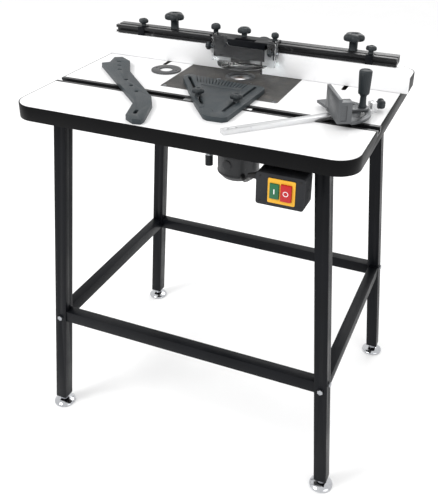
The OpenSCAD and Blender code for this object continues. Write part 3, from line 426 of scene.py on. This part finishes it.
class Finishes:
    """The made materials, by the record's slot name."""

    def __init__(self) -> None:
        """Build the shared groups, then each material."""
        mottle_group()
        scuff_group()
        dust_group()
        self.by_slot = {f.slot: f.build() for f in FINISHES}

    def dress(self, piece: bpy.types.Object, slot: str) -> bpy.types.Object:
        """Give a new piece its finish and name its slot.

        Args:
            piece: the object to dress.
            slot: the record's material slot.

        Returns:
            The same object.
        """
        piece.data.materials.clear()
        piece.data.materials.append(self.by_slot[slot])
        return piece

    def dress_cad(self) -> None:
        """Give every CAD node the finish of its own slot."""
        for name, node in NODES.items():
            node.data.materials.clear()
            node.data.materials.append(self.by_slot[SLOT_OF[name]])


# ------------------------------------------------------------------ mesh tools


def object_from(name: str, mesh: bmesh.types.BMesh, smooth_angle: float = 35.0) -> bpy.types.Object:
    """Make an object of a bmesh, in the scene, smooth except at sharp edges.

    Args:
        name: the piece's name.
        mesh: the bmesh, which is freed.
        smooth_angle: edges sharper than this, in degrees, stay sharp.

    Returns:
        The object.
    """
    data = bpy.data.meshes.new(name)
    bmesh.ops.recalc_face_normals(mesh, faces=mesh.faces)
    for edge in mesh.edges:
        edge.smooth = len(edge.link_faces) == 2 and edge.calc_face_angle(0.0) < math.radians(smooth_angle)
    for face in mesh.faces:
        face.smooth = True
    mesh.to_mesh(data)
    mesh.free()
    piece = bpy.data.objects.new(name, data)
    bpy.context.scene.collection.objects.link(piece)
    return piece


def bevel(mesh: bmesh.types.BMesh, width: float, segments: int, angle: float = 32.0) -> None:
    """Round the sharp edges of a bmesh.

    Args:
        mesh: the bmesh, changed in place.
        width: the bevel's width in metres.
        segments: how many faces round each edge.
        angle: only edges sharper than this, in degrees, are rounded.
    """
    sharp = [e for e in mesh.edges if len(e.link_faces) == 2 and e.calc_face_angle(0.0) > math.radians(angle)]
    bmesh.ops.bevel(mesh, geom=sharp, offset=width, offset_type="OFFSET", segments=segments, profile=0.5,
                    affect="EDGES", clamp_overlap=True)


def ring_of(mesh: bmesh.types.BMesh, count: int,
            place: Callable[[float], Vector]) -> list[bmesh.types.BMVert]:
    """Add a closed ring of points.

    Args:
        mesh: the bmesh that gets the points.
        count: how many points.
        place: gives a point for an angle in radians.

    Returns:
        The new points in order.
    """
    return [mesh.verts.new(place(2 * math.pi * i / count)) for i in range(count)]


def skin(mesh: bmesh.types.BMesh, rings: list[list[bmesh.types.BMVert]], capped: bool = True) -> None:
    """Join rings of points with quads.

    Args:
        mesh: the bmesh.
        rings: rings with the same number of points.
        capped: whether the first and last rings are closed with a face.
    """
    for low, high in zip(rings, rings[1:]):
        for i in range(len(low)):
            k = (i + 1) % len(low)
            mesh.faces.new((low[i], low[k], high[k], high[i]))
    if capped:
        mesh.faces.new(list(reversed(rings[0])))
        mesh.faces.new(rings[-1])


def lathe(mesh: bmesh.types.BMesh, profile: list[tuple[float, float]], centre: Vector,
          count: int = 48) -> None:
    """Turn a profile of (radius, height) points about the vertical through centre.

    Args:
        mesh: the bmesh.
        profile: radius and height pairs in metres, from the bottom up.
        centre: where the axis stands.
        count: points round the axis.
    """
    rings = [
        ring_of(mesh, count, lambda a, r=r, z=z: centre + Vector((r * math.cos(a), r * math.sin(a), z)))
        for r, z in profile
    ]
    skin(mesh, rings)


def box_into(mesh: bmesh.types.BMesh, low: Vector, high: Vector) -> list[bmesh.types.BMVert]:
    """Add a box between two corners and return its points.

    Args:
        mesh: the bmesh that gets the faces.
        low: the lowest corner.
        high: the highest corner.

    Returns:
        The box's points.
    """
    made = bmesh.ops.create_cube(mesh, size=1.0)["verts"]
    size = high - low
    for vert in made:
        vert.co = Vector((low[i] + (vert.co[i] + 0.5) * size[i] for i in range(3)))
    return made


def settle(piece: bpy.types.Object, body: str, *stands_for: str) -> bpy.types.Object:
    """Let a piece ride on a body and stand for CAD nodes.

    Args:
        piece: the object.
        body: the CAD body it rides on.
        stands_for: the CAD nodes that it replaces.

    Returns:
        The same object.
    """
    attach(piece, body)
    if stands_for:
        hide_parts(*stands_for)
    return piece


@dataclass
class RoundedCopies:
    """CAD pieces whose edges are broken as a maker breaks them."""

    finishes: Finishes
    widths: dict[str, float] = field(default_factory=lambda: {
        "edge_band": 1.6, "insert_plate": 0.5, "insert_ring": 0.5, "spare_ring": 0.8, "fence_face_left": 0.9,
        "fence_face_right": 0.9, "fence_rail": 0.5, "guard_shield": 0.6, "guard_bracket": 0.4,
        "push_stick": 1.6, "featherboard": 0.9, "mitre_bar": 0.5, "mitre_protractor": 0.5, "mitre_head": 0.9,
        "leg_front_left": 1.8, "leg_front_right": 1.8, "leg_back_left": 1.8, "leg_back_right": 1.8,
        "low_rails_long": 1.4, "low_rails_side": 1.4, "upper_rails": 1.2, "switch_box": 1.6,
        "switch_plate": 0.4, "green_button": 1.2, "red_button": 1.2, "feather_shoe_left": 0.5,
        "feather_shoe_right": 0.5, "dust_port": 0.7, "face_clip_left": 0.3, "face_clip_right": 0.3,
        "router_base": 0.8, "router_motor": 1.5, "router_handles": 2.0, "collet": 0.5, "frame_bolts": 0.3,
        "plunge_lever": 0.8,
    })

    def copy(self, node: str, width: float) -> bpy.types.Object:
        """Copy a CAD node's mesh and round its edges.

        Args:
            node: the CAD node.
            width: the rounding in millimetres.

        Returns:
            The new piece.
        """
        mesh = bmesh.new()
        mesh.from_mesh(NODES[node].data)
        bmesh.ops.remove_doubles(mesh, verts=mesh.verts, dist=1e-5)
        bmesh.ops.dissolve_limit(mesh, angle_limit=math.radians(1.0), verts=mesh.verts, edges=mesh.edges)
        bevel(mesh, width * MM, 2)
        piece = object_from(node + "_rounded", mesh)
        self.finishes.dress(piece, SLOT_OF[node])
        return settle(piece, BODY_OF[node], node)

    def build(self) -> list[bpy.types.Object]:
        """Make every rounded copy."""
        return [self.copy(node, width) for node, width in self.widths.items()]


# ------------------------------------------------------------------ knobs


@dataclass
class StarKnob:
    """A moulded knob with soft lobes, a skirt, a hollow crown and a round neck."""

    node: str
    lobes: int
    axis: Axis = Axis.UP
    depth: float = 0.20
    neck: float = 0.42
    head_share: float = 0.5
    count: int = 120

    def frame_matrix(self) -> tuple[Matrix, float, float]:
        """Find where the knob stands from its CAD solid.

        Returns:
            The matrix from the knob's own space, its largest radius and its height.
        """
        points = [v.co.copy() for v in NODES[self.node].data.vertices]
        if self.axis is Axis.UP:
            turn = Matrix.Identity(4)
        elif self.axis is Axis.LEFT:
            turn = Matrix.Rotation(math.radians(-90), 4, "Y")
        else:
            direction = Vector(JOINTS["end_knob_turn"]["axis"])
            turn = direction.to_track_quat("Z", "Y").to_matrix().to_4x4()
        local = [turn.inverted() @ p for p in points]
        bottom = min(p.z for p in local)
        top = max(p.z for p in local)
        foot = [p for p in local if p.z < bottom + 1e-5]
        middle = Vector((sum(p.x for p in foot), sum(p.y for p in foot), 0)) / len(foot)
        radius = max(math.hypot(p.x - middle.x, p.y - middle.y) for p in local)
        return turn @ Matrix.Translation((middle.x, middle.y, bottom)), radius, top - bottom

    def build(self, finishes: Finishes) -> bpy.types.Object:
        """Build the knob over its CAD solid.

        Args:
            finishes: the materials.

        Returns:
            The knob.
        """
        matrix, radius, height = self.frame_matrix()
        head = height * self.head_share
        start = height - head
        neck = radius * self.neck
        profile = [
            (neck * 1.08, 0.0, 0.0), (neck * 1.08, 0.02 * height, 0.0), (neck, 0.06 * height, 0.0),
            (neck, start * 0.9, 0.0), (neck * 1.25, start, 0.1), (radius * 0.80, start + head * 0.06, 0.9),
            (radius * 0.95, start + head * 0.16, 1.0), (radius, start + head * 0.38, 1.0),
            (radius * 0.985, start + head * 0.62, 1.0), (radius * 0.90, start + head * 0.82, 0.95),
            (radius * 0.74, start + head * 0.94, 0.7), (radius * 0.54, height * 0.999, 0.35),
            (radius * 0.40, height, 0.1), (radius * 0.34, height - head * 0.05, 0.0),
            (radius * 0.30, height - head * 0.12, 0.0), (radius * 0.05, height - head * 0.10, 0.0),
        ]
        mesh = bmesh.new()

        def point(angle: float, r: float, z: float, lobed: float) -> Vector:
            """Give the surface point at an angle: lobes fade out where lobed is 0.

            Args:
                angle: the angle round the axis in radians.
                r: the radius there.
                z: the band's lower edge.
                lobed: how much the lobes count, 0 to 1.

            Returns:
                The point.
            """
            dip = self.depth * (0.5 - 0.5 * math.cos(self.lobes * angle)) ** 1.4
            reach = r * (1 - dip * lobed)
            return matrix @ Vector((reach * math.cos(angle), reach * math.sin(angle), z))

        rings = [ring_of(mesh, self.count, lambda a, p=p: point(a, *p)) for p in profile]
        skin(mesh, rings)
        piece = object_from(self.node + "_moulded", mesh, 60.0)
        finishes.dress(piece, "knob")
        return settle(piece, BODY_OF[self.node], self.node)


KNOBS = (
    StarKnob("clamp_knob_left", 5, depth=0.22, neck=0.40, head_share=0.46),
    StarKnob("clamp_knob_right", 5, depth=0.22, neck=0.40, head_share=0.46),
    StarKnob("face_knob_left", 4, neck=0.46, head_share=0.62),
    StarKnob("face_knob_right", 4, neck=0.46, head_share=0.62),
    StarKnob("bracket_knob_left", 5, neck=0.50, head_share=0.60),
    StarKnob("bracket_knob_middle", 5, neck=0.40, head_share=0.64),
    StarKnob("bracket_knob_right", 4, neck=0.60, head_share=0.70),
    StarKnob("guard_knob_left", 4, Axis.LEFT, neck=0.50, head_share=0.58),
    StarKnob("guard_knob_right", 4, Axis.LEFT, neck=0.50, head_share=0.68),
    StarKnob("feather_knob_left", 5, neck=0.50, head_share=0.66),
    StarKnob("feather_knob_right", 5, neck=0.50, head_share=0.66),
    StarKnob("mitre_end_knob", 5, Axis.BAR, neck=0.50, head_share=0.62),
)


# ------------------------------------------------------------------ feet, featherboard, gauge


@dataclass
class LevellingFoot:
    """A chromed dome on a rubber pad, with a hexagon nut above it."""

    corner: str
    radius: float = 30 * MM
    dome: float = 14 * MM
    nut: float = 9.8 * MM

    def build(self, finishes: Finishes) -> list[bpy.types.Object]:
        """Build the dome, its nut and its pad over the CAD foot.

        Args:
            finishes: the materials.

        Returns:
            The new pieces.
        """
        node = "foot_" + self.corner
        low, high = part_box(node)
        centre = Vector(((low.x + high.x) / 2, (low.y + high.y) / 2, 0.0))
        r, h = self.radius, self.dome
        dome = bmesh.new()
        lathe(dome, [
            (r * 0.93, 0.0012), (r * 0.985, 0.0014), (r, 0.0022), (r, 0.0042), (r * 0.985, 0.0052),
            (r * 0.93, 0.0068), (r * 0.82, h * 0.66), (r * 0.66, h * 0.82), (r * 0.50, h * 0.93),
            (r * 0.40, h), (r * 0.34, h + 0.0004), (r * 0.34, h + 0.0016), (r * 0.20, h + 0.0016),
        ], centre, 64)
        lathe(dome, [(r * 0.205, h), (r * 0.205, high.z)], centre, 24)
        rings = []
        for z, share in ((h + 0.0012, 0.94), (h + 0.0020, 1.0), (h + 0.0062, 1.0), (h + 0.0070, 0.94)):
            rings.append(ring_of(dome, 6, lambda a, z=z, s=share: centre + Vector(
                (self.nut * s * math.cos(a), self.nut * s * math.sin(a), z))))
        skin(dome, rings)
        metal = object_from(node + "_dome", dome, 30.0)
        finishes.dress(metal, "foot_chrome")
        settle(metal, node, node)
        pad = bmesh.new()
        lathe(pad, [(r * 0.86, 0.0), (r * 0.92, 0.0004), (r * 0.92, 0.0018), (r * 0.5, 0.0018)], centre, 48)
        rubber = object_from(node + "_pad", pad, 40.0)
        finishes.dress(rubber, "cord")
        return [metal, settle(rubber, node)]


def tube_along(mesh: bmesh.types.BMesh, points: list[Vector], radius: Callable[[float], float], sides: int,
               closed: bool = False) -> None:
    """Sweep a round section along a route without twisting it.

    Args:
        mesh: the bmesh.
        points: the route.
        radius: gives the radius for the share of the route covered, 0 to 1.
        sides: points round the section.
        closed: whether the route's ends meet.
    """
    count = len(points)
    across = None
    rings = []
    for i, point in enumerate(points):
        ahead = points[(i + 1) % count] if closed else points[min(i + 1, count - 1)]
        behind = points[i - 1] if closed else points[max(i - 1, 0)]
        along = (ahead - behind).normalized()
        if across is None:
            across = along.orthogonal().normalized()
        across = (across - along * across.dot(along)).normalized()
        side = along.cross(across)
        r = radius(i / max(count - 1, 1))
        rings.append(ring_of(mesh, sides, lambda a, p=point, u=across, v=side, r=r: p + (
            u * math.cos(a) + v * math.sin(a)) * r))
    skin(mesh, rings + [rings[0]] if closed else rings, not closed)


@dataclass
class FeatherboardTrim:
    """Raised rims round the two slots and a raised line along the roots of the fingers."""

    rim: float = 0.9 * MM
    half_width: float = 5.2 * MM
    reaches: tuple[tuple[float, float], ...] = ((0.052, 0.138), (0.068, 0.108))

    def slot_loop(self, i: int, top: float) -> list[Vector]:
        """Give the closed outline round slot i at the board's top.

        Args:
            i: which slot, 0 for the left one.
            top: the height of the board's top.

        Returns:
            The closed outline.
        """
        shoe = ("feather_shoe_left", "feather_shoe_right")[i]
        joint = ("featherboard_slide", "feather_shoe_right_slide")[i]
        low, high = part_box(shoe)
        middle = Vector(((low.x + high.x) / 2, (low.y + high.y) / 2, top))
        along = Vector(JOINTS[joint]["axis"]).normalized()
        across = Vector((-along.y, along.x, 0.0))
        front, back = self.reaches[i]
        loop = []
        for end, sign in ((front, 1.0), (-back, -1.0)):
            for step in range(9):
                a = math.radians(-90 + 180 * step / 8)
                loop.append(middle + along * (end + sign * self.half_width * math.cos(a))
                            + across * (sign * self.half_width * math.sin(a)))
        return loop

    def build(self, finishes: Finishes) -> list[bpy.types.Object]:
        """Build the rims and the ridge.

        Args:
            finishes: the materials.

        Returns:
            The new pieces.
        """
        low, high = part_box("featherboard")
        mesh = bmesh.new()
        for i in range(2):
            tube_along(mesh, self.slot_loop(i, high.z), lambda t: self.rim, 8, closed=True)
        ridge_y = low.y + 0.187
        ridge = [Vector((low.x + 0.070 + 0.105 * t / 12, ridge_y - 0.002 * t / 12, high.z))
                 for t in range(13)]
        tube_along(mesh, ridge, lambda t: 1.1 * MM, 8)
        for x, y, turn in ((0.136, 0.044, 50.0), (0.166, 0.038, -60.0)):
            centre = Vector((low.x + x, low.y + y, high.z))
            step = Vector((math.cos(math.radians(turn)), math.sin(math.radians(turn)), 0.0)) * 0.006
            tube_along(mesh, [centre - step, centre, centre + step], lambda t: 1.0 * MM, 8)
        trim = object_from("featherboard_trim", mesh, 50.0)
        finishes.dress(trim, "slate_plastic")
        return [settle(trim, "featherboard")]


@dataclass
class MitreGaugeTrim:
    """Degree marks on the protractor and the fluted handle of the head."""

    inner: float = 65 * MM
    outer: float = 73 * MM
    step: int = 5
    last: int = 60
    half_mark: float = 0.35 * MM
    ribs: int = 22

    def marks(self, finishes: Finishes) -> bpy.types.Object:
        """Build the degree marks.

        Args:
            finishes: the materials.

        Returns:
            The piece.
        """
        pivot = Vector(JOINTS["head_turn"]["pos_m"])
        along = Vector(JOINTS["end_knob_turn"]["axis"])
        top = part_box("mitre_protractor")[1].z
        base = math.atan2(along.y, along.x)
        mesh = bmesh.new()
        for degree in range(-self.last, self.last + 1, self.step):
            inner = self.inner if degree % 15 == 0 else self.inner + 3.5 * MM
            made = box_into(mesh, Vector((inner, -self.half_mark, -0.1 * MM)),
                            Vector((self.outer, self.half_mark, 0.15 * MM)))
            turn = Matrix.Translation((pivot.x, pivot.y, top)) @ Matrix.Rotation(
                base + math.radians(degree), 4, "Z")
            for vert in made:
                vert.co = turn @ vert.co
        piece = object_from("protractor_marks", mesh)
        finishes.dress(piece, "knob")
        return settle(piece, "gauge")

    def handle(self, finishes: Finishes) -> bpy.types.Object:
        """Build the turned handle with its ribbed grip and cone-shaped foot.

        Args:
            finishes: the materials.

        Returns:
            The piece.
        """
        low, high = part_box("mitre_handle")
        centre = Vector(((low.x + high.x) / 2, (low.y + high.y) / 2, 0.0))
        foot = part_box("mitre_head")[0].z + 6.3 * MM
        grip = high.z - 55 * MM
        mesh = bmesh.new()
        rows = [(low.z, 4.0), (foot, 4.0), (foot, 9.0), (foot + 0.003, 9.4), (foot + 0.006, 7.6),
                (grip - 0.006, 6.8), (grip - 0.001, 9.0), (grip + 0.001, 12.0), (grip + 0.004, 12.8),
                (grip + 0.046, 14.6), (grip + 0.050, 14.8), (grip + 0.053, 14.0), (grip + 0.0545, 12.2),
                (grip + 0.055, 9.8), (grip + 0.0538, 9.0), (grip + 0.0538, 1.0)]

        def point(a: float, z: float, r: float) -> Vector:
            """Give the grip's surface point: shallow flutes between its shoulders."""
            fluted = 0.45 * (0.5 - 0.5 * math.cos(self.ribs * a)) if grip + 0.003 < z < grip + 0.051 else 0.0
            return centre + Vector(((r - fluted) * MM * math.cos(a), (r - fluted) * MM * math.sin(a), z))

        skin(mesh, [ring_of(mesh, 132, lambda a, z=z, r=r: point(a, z, r)) for z, r in rows])
        piece = object_from("mitre_handle_turned", mesh, 50.0)
        finishes.dress(piece, "knob")
        return settle(piece, "mitre_handle", "mitre_handle")

    def build(self, finishes: Finishes) -> list[bpy.types.Object]:
        """Build the marks and the handle."""
        return [self.marks(finishes), self.handle(finishes)]


# ------------------------------------------------------------------ switch, router, cord


@dataclass
class SwitchTrim:
    """Cover seam, corner screws and the plain on and off symbols."""

    screw_in: float = 8 * MM
    screw_r: float = 2.6 * MM
    gland: float = 9 * MM
    cover: float = 12 * MM
    lip_r: float = 1.9 * MM

    def screws(self, finishes: Finishes) -> bpy.types.Object:
        """Build the four cover screws.

        Args:
            finishes: the materials.

        Returns:
            The piece.
        """
        low, high = self.case_box()
        mesh = bmesh.new()
        for x in (low.x + self.screw_in, high.x - self.screw_in):
            for z in (low.z + self.screw_in, high.z - self.screw_in):
                start = len(mesh.verts)
                r = self.screw_r
                lathe(mesh, [(r, -0.0002), (r, 0.0006), (r * 0.8, 0.0011), (r * 0.3, 0.0012),
                             (r * 0.28, 0.0006), (r * 0.05, 0.0006)], Vector((0, 0, 0)), 20)
                mesh.verts.ensure_lookup_table()
                turn = Matrix.Translation((x, low.y, z)) @ Matrix.Rotation(math.radians(90), 4, "X")
                for vert in list(mesh.verts)[start:]:
                    vert.co = turn @ vert.co
        piece = object_from("switch_cover_screws", mesh, 40.0)
        finishes.dress(piece, "cord")
        return settle(piece, "table")

    def case_box(self) -> tuple[Vector, Vector]:
        """Give the corners of the case without its gland, which stands out on the left."""
        low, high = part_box("switch_box")
        return Vector((low.x + self.gland, low.y, low.z)), high

    def seam(self, finishes: Finishes) -> bpy.types.Object:
        """Build the raised lip where the cover meets the case.

        Args:
            finishes: the materials.

        Returns:
            The piece.
        """
        low, high = self.case_box()
        y = low.y + self.cover
        inset = 1.5 * MM
        corners = [(low.x + inset, low.z + inset), (high.x - inset, low.z + inset),
                   (high.x - inset, high.z - inset), (low.x + inset, high.z - inset)]
        mesh = bmesh.new()
        loop = []
        for k, (x, z) in enumerate(corners):
            nx, nz = corners[(k + 1) % 4]
            loop += [Vector((x + (nx - x) * t, y, z + (nz - z) * t)) for t in (0.04, 0.35, 0.65, 0.96)]
        tube_along(mesh, loop, lambda t: self.lip_r, 8, closed=True)
        piece = object_from("switch_cover_lip", mesh, 40.0)
        finishes.dress(piece, "switch_case")
        return settle(piece, "table")

    def symbols(self, finishes: Finishes) -> list[bpy.types.Object]:
        """Build the bar on the green button and the ring on the red one.

        Args:
            finishes: the materials.

        Returns:
            The bar and the ring.
        """
        made = []
        low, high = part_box("green_button")
        centre = Vector(((low.x + high.x) / 2, low.y, (low.z + high.z) / 2))
        bar = bmesh.new()
        size = Vector((1.1, 0.25, 5.5)) * MM
        box_into(bar, centre - size, centre + size)
        made.append(settle(finishes.dress(object_from("on_bar", bar), "face"), "green_button"))
        low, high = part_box("red_button")
        centre = Vector(((low.x + high.x) / 2, low.y, (low.z + high.z) / 2))
        ring = bmesh.new()
        loop = [centre + Vector((math.cos(a), 0, math.sin(a))) * 5.2 * MM
                for a in (2 * math.pi * i / 32 for i in range(32))]
        tube_along(ring, loop, lambda t: 0.8 * MM, 8, closed=True)
        made.append(settle(finishes.dress(object_from("off_ring", ring, 60.0), "face"), "red_button"))
        return made

    def build(self, finishes: Finishes) -> list[bpy.types.Object]:
        """Build all the trim of the switch."""
        return [self.screws(finishes), self.seam(finishes), *self.symbols(finishes)]


@dataclass
class RouterTrim:
    """Bands, louvres and end ribs on the motor, and ribbed stops on the columns."""

    motor_r: float = 57 * MM
    column_r: float = 9 * MM
    louvres: int = 28
    end_ribs: int = 12
    stop_steps: int = 6
    stop_pitch: float = 5 * MM
    column_inset: float = 16 * MM

    def band(self, mesh: bmesh.types.BMesh, centre: Vector, radius: float, z: float, width: float,
             proud: float) -> None:
        """Add a closed round band that stands proud of a cylinder.

        Args:
            mesh: the bmesh that gets the faces.
            centre: where the axis stands.
            radius: the radius of the cylinder.
            z: the band's lower edge.
            width: the band's height.
            proud: how far it stands out.
        """
        rows = [(radius - 0.001, z), (radius + proud, z + 0.0006), (radius + proud, z + width - 0.0006),
                (radius - 0.001, z + width)]
        rings = [ring_of(mesh, 72, lambda a, r=r, h=h: centre + Vector((r * math.cos(a), r * math.sin(a), h)))
                 for r, h in rows]
        skin(mesh, rings + [rings[0]], capped=False)

    def build(self, finishes: Finishes) -> list[bpy.types.Object]:
        """Build the motor's bands and louvres and the columns' ribbed stops.

        Args:
            finishes: the materials.

        Returns:
            The new pieces.
        """
        axis = Vector(JOINTS["collet_turn"]["pos_m"])
        centre = Vector((axis.x, axis.y, 0.0))
        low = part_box("router_motor")[0]
        mesh = bmesh.new()
        for z, width in ((low.z + 0.016, 0.003), (low.z + 0.066, 0.004), (low.z + 0.105, 0.003)):
            self.band(mesh, centre, self.motor_r, z, width, 0.0009)
        for i in range(self.louvres):
            made = box_into(mesh, Vector((self.motor_r - 0.001, -0.0016, low.z + 0.074)),
                            Vector((self.motor_r + 0.0009, 0.0016, low.z + 0.098)))
            turn = Matrix.Translation(centre) @ Matrix.Rotation(2 * math.pi * i / self.louvres, 4, "Z")
            for vert in made:
                vert.co = turn @ vert.co
        for i in range(self.end_ribs):
            made = box_into(mesh, Vector((0.018, -0.0014, low.z - 0.0002)),
                            Vector((0.036, 0.0014, low.z + 0.0012)))
            turn = Matrix.Translation(centre) @ Matrix.Rotation(2 * math.pi * i / self.end_ribs, 4, "Z")
            for vert in made:
                vert.co = turn @ vert.co
        bands = object_from("motor_bands", mesh, 40.0)
        finishes.dress(bands, "motor")
        settle(bands, "router_head")
        base_low, base_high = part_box("router_base")
        foot = base_low.z
        gap = (base_high.x - base_low.x) / 2 - self.column_inset
        stops = bmesh.new()
        for side in (-1, 1):
            rows = [(0.2, 0.0), (1.0, 0.0)]
            for k in range(self.stop_steps):
                z = k * self.stop_pitch
                rows += [(1.22, z + 0.0006), (1.22, z + 0.0032), (1.04, z + 0.0038), (1.04, z + 0.005)]
            rows.append((0.2, 0.031))
            lathe(stops, [(self.column_r * s, foot + z) for s, z in rows],
                  centre + Vector((side * gap, 0, 0)), 32)
        ribbed = object_from("column_stops", stops, 40.0)
        finishes.dress(ribbed, "knob")
        return [bands, settle(ribbed, "table")]


@dataclass
class RouterCord:
    """The short cord between the motor and the switch box, with a tapered relief at each end."""

    diameter: float = 9 * MM
    route: tuple[tuple[float, float, float], ...] = (
        (37, 12, 672), (44, 1, 674), (52, -16, 681), (66, -46, 697), (82, -80, 716), (98, -114, 736),
        (113, -148, 756), (128, -182, 775), (142, -214, 793), (154, -244, 809), (164, -270, 823),
        (172, -290, 835), (180, -302, 845), (188, -304, 848),
    )
    steps: int = 6
    motor_relief: float = 24 * MM
    switch_relief: float = 20 * MM

    def smooth_route(self) -> list[Vector]:
        """Give the route as a smooth run of points through the listed ones, in metres.

        Returns:
            The points in order.
        """
        points = [Vector(p) * MM for p in self.route]
        ends = [points[0] * 2 - points[1], *points, points[-1] * 2 - points[-2]]
        run = []
        for a, b, c, d in zip(ends, ends[1:], ends[2:], ends[3:]):
            for k in range(self.steps):
                t = k / self.steps
                run.append(0.5 * (2 * b + (c - a) * t + (2 * a - 5 * b + 4 * c - d) * t * t
                                  + (3 * b - a - 3 * c + d) * t ** 3))
        return [*run, points[-1]]

    def relief(self, name: str, body: str, start: Vector, towards: Vector, length: float,
               finishes: Finishes) -> bpy.types.Object:
        """Build a ribbed strain relief that tapers from a housing on to the cord.

        Args:
            name: the name of the new piece or node group.
            body: the CAD body it rides on.
            start: where the relief leaves its housing.
            towards: a point that the relief aims at.
            length: how long the relief is.
            finishes: the materials.

        Returns:
            The piece.
        """
        along = (towards - start).normalized()
        mesh = bmesh.new()
        rows = 28
        points = [start + along * (length * i / rows) for i in range(rows + 1)]
        slim = self.diameter / 2 + 0.0003
        tube_along(mesh, points, lambda t: slim + 0.0026 * (1 - t) + 0.0005 * (round(t * rows) % 4 < 2), 20)
        piece = object_from(name, mesh, 50.0)
        finishes.dress(piece, "cord")
        return settle(piece, body)

    def build(self, finishes: Finishes) -> list[bpy.types.Object]:
        """Build the cord and its reliefs.

        Args:
            finishes: the materials.

        Returns:
            The new pieces.
        """
        run = self.smooth_route()
        mesh = bmesh.new()
        tube_along(mesh, run, lambda t: self.diameter / 2, 16)
        cord = object_from("router_cord_run", mesh, 60.0)
        finishes.dress(cord, "cord")
        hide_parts("router_cord")
        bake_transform(cord)
        reliefs = [
            self.relief("motor_cord_relief", "router_head", run[0] - (run[1] - run[0]).normalized() * 0.002,
                        run[6], self.motor_relief, finishes),
            self.relief("switch_cord_relief", "table", run[-1] + Vector((0.001, 0, 0)), run[-5],
                        self.switch_relief, finishes),
        ]
        return [cord, *reliefs]


# ------------------------------------------------------------------ stage


@dataclass
class Studio:
    """Pale floor, soft lights and the camera."""

    position: tuple[float, float, float] = (0.6593, -1.6033, 1.5090)
    yaw: float = 0.380
    pitch: float = 0.481
    roll: float = 0.018
    lens: float = 52.12
    shift: tuple[float, float] = (-0.032, -0.10)
    floor_size: float = 14.0

    def camera(self) -> None:
        """Place the camera and make it the scene's."""
        forward = Vector((-math.sin(self.yaw) * math.cos(self.pitch),
                          math.cos(self.yaw) * math.cos(self.pitch), -math.sin(self.pitch)))
        level = Vector((math.cos(self.yaw), math.sin(self.yaw), 0.0))
        upright = level.cross(forward)
        right = level * math.cos(self.roll) + upright * math.sin(self.roll)
        up = upright * math.cos(self.roll) - level * math.sin(self.roll)
        data = bpy.data.cameras.new("camera")
        data.sensor_width = 36.0
        data.lens = self.lens
        data.shift_x, data.shift_y = self.shift
        data.clip_end = 50.0
        camera = bpy.data.objects.new("camera", data)
        turn = Matrix((right, up, -forward)).transposed().to_4x4()
        camera.matrix_world = Matrix.Translation(self.position) @ turn
        bpy.context.scene.collection.objects.link(camera)
        bpy.context.scene.camera = camera

    def floor(self) -> None:
        """Lay a wide pale floor."""
        mesh = bmesh.new()
        bmesh.ops.create_grid(mesh, x_segments=4, y_segments=4, size=self.floor_size)
        floor = object_from("floor", mesh)
        material = bpy.data.materials.new("pale_floor")
        material.use_nodes = True
        tree = material.node_tree
        shader = tree.nodes["Principled BSDF"]
        place = tree.nodes.new("ShaderNodeTexCoord")
        soft = ramp_between(tree, noise(tree, place.outputs["Object"], 3.0, 3.0), 0.2, 0.8)
        shade = tree.nodes.new("ShaderNodeMix")
        shade.data_type = "RGBA"
        tree.links.new(soft, shade.inputs[0])
        shade.inputs[6].default_value = (0.955, 0.955, 0.955, 1.0)
        shade.inputs[7].default_value = (0.975, 0.975, 0.975, 1.0)
        tree.links.new(shade.outputs[2], shader.inputs["Base Color"])
        shader.inputs["Roughness"].default_value = 0.85
        floor.data.materials.append(material)

    def area(self, name: str, place: Vector, aim: Vector, size: float, power: float) -> None:
        """Hang a soft light that faces a point.

        Args:
            name: the name of the new piece or node group.
            place: where the light hangs.
            aim: the point that it faces.
            size: the light's width.
            power: the light's power in watts.
        """
        data = bpy.data.lights.new(name, "AREA")
        data.shape = "DISK"
        data.size = size
        data.energy = power
        light = bpy.data.objects.new(name, data)
        light.location = place
        light.rotation_euler = (aim - place).to_track_quat("-Z", "Y").to_euler()
        bpy.context.scene.collection.objects.link(light)

    def build(self) -> None:
        """Set up the whole studio."""
        self.camera()
        self.floor()
        aim = Vector((0.0, 0.0, 0.8))
        self.area("key", Vector((-1.6, -1.9, 3.0)), aim, 1.4, 52.0)
        self.area("fill", Vector((2.6, -1.2, 2.0)), aim, 2.2, 14.0)
        self.area("back", Vector((0.4, 2.6, 2.6)), aim, 2.0, 26.0)
        world = bpy.data.worlds.new("studio")
        world.use_nodes = True
        shade = world.node_tree.nodes["Background"]
        shade.inputs["Color"].default_value = (1.0, 1.0, 1.0, 1.0)
        shade.inputs["Strength"].default_value = 1.0
        bpy.context.scene.world = world
        bpy.context.scene.view_settings.view_transform = "Standard"


def main() -> None:
    """Build the studio, the finishes and each sub-assembly, and report every piece."""
    logging.basicConfig(level=logging.INFO, format="%(name)s: %(message)s")
    Studio().build()
    finishes = Finishes()
    finishes.dress_cad()
    made = RouterCord().build(finishes)
    made += RoundedCopies(finishes).build()
    made += [knob.build(finishes) for knob in KNOBS]
    for corner in ("front_left", "front_right", "back_left", "back_right"):
        made += LevellingFoot(corner).build(finishes)
    for part in (FeatherboardTrim(), MitreGaugeTrim(), SwitchTrim(), RouterTrim()):
        made += part.build(finishes)
    for piece in made:
        LOG.info("%s: %d faces", piece.name, len(piece.data.polygons))


if __name__ == "__main__":
    main()
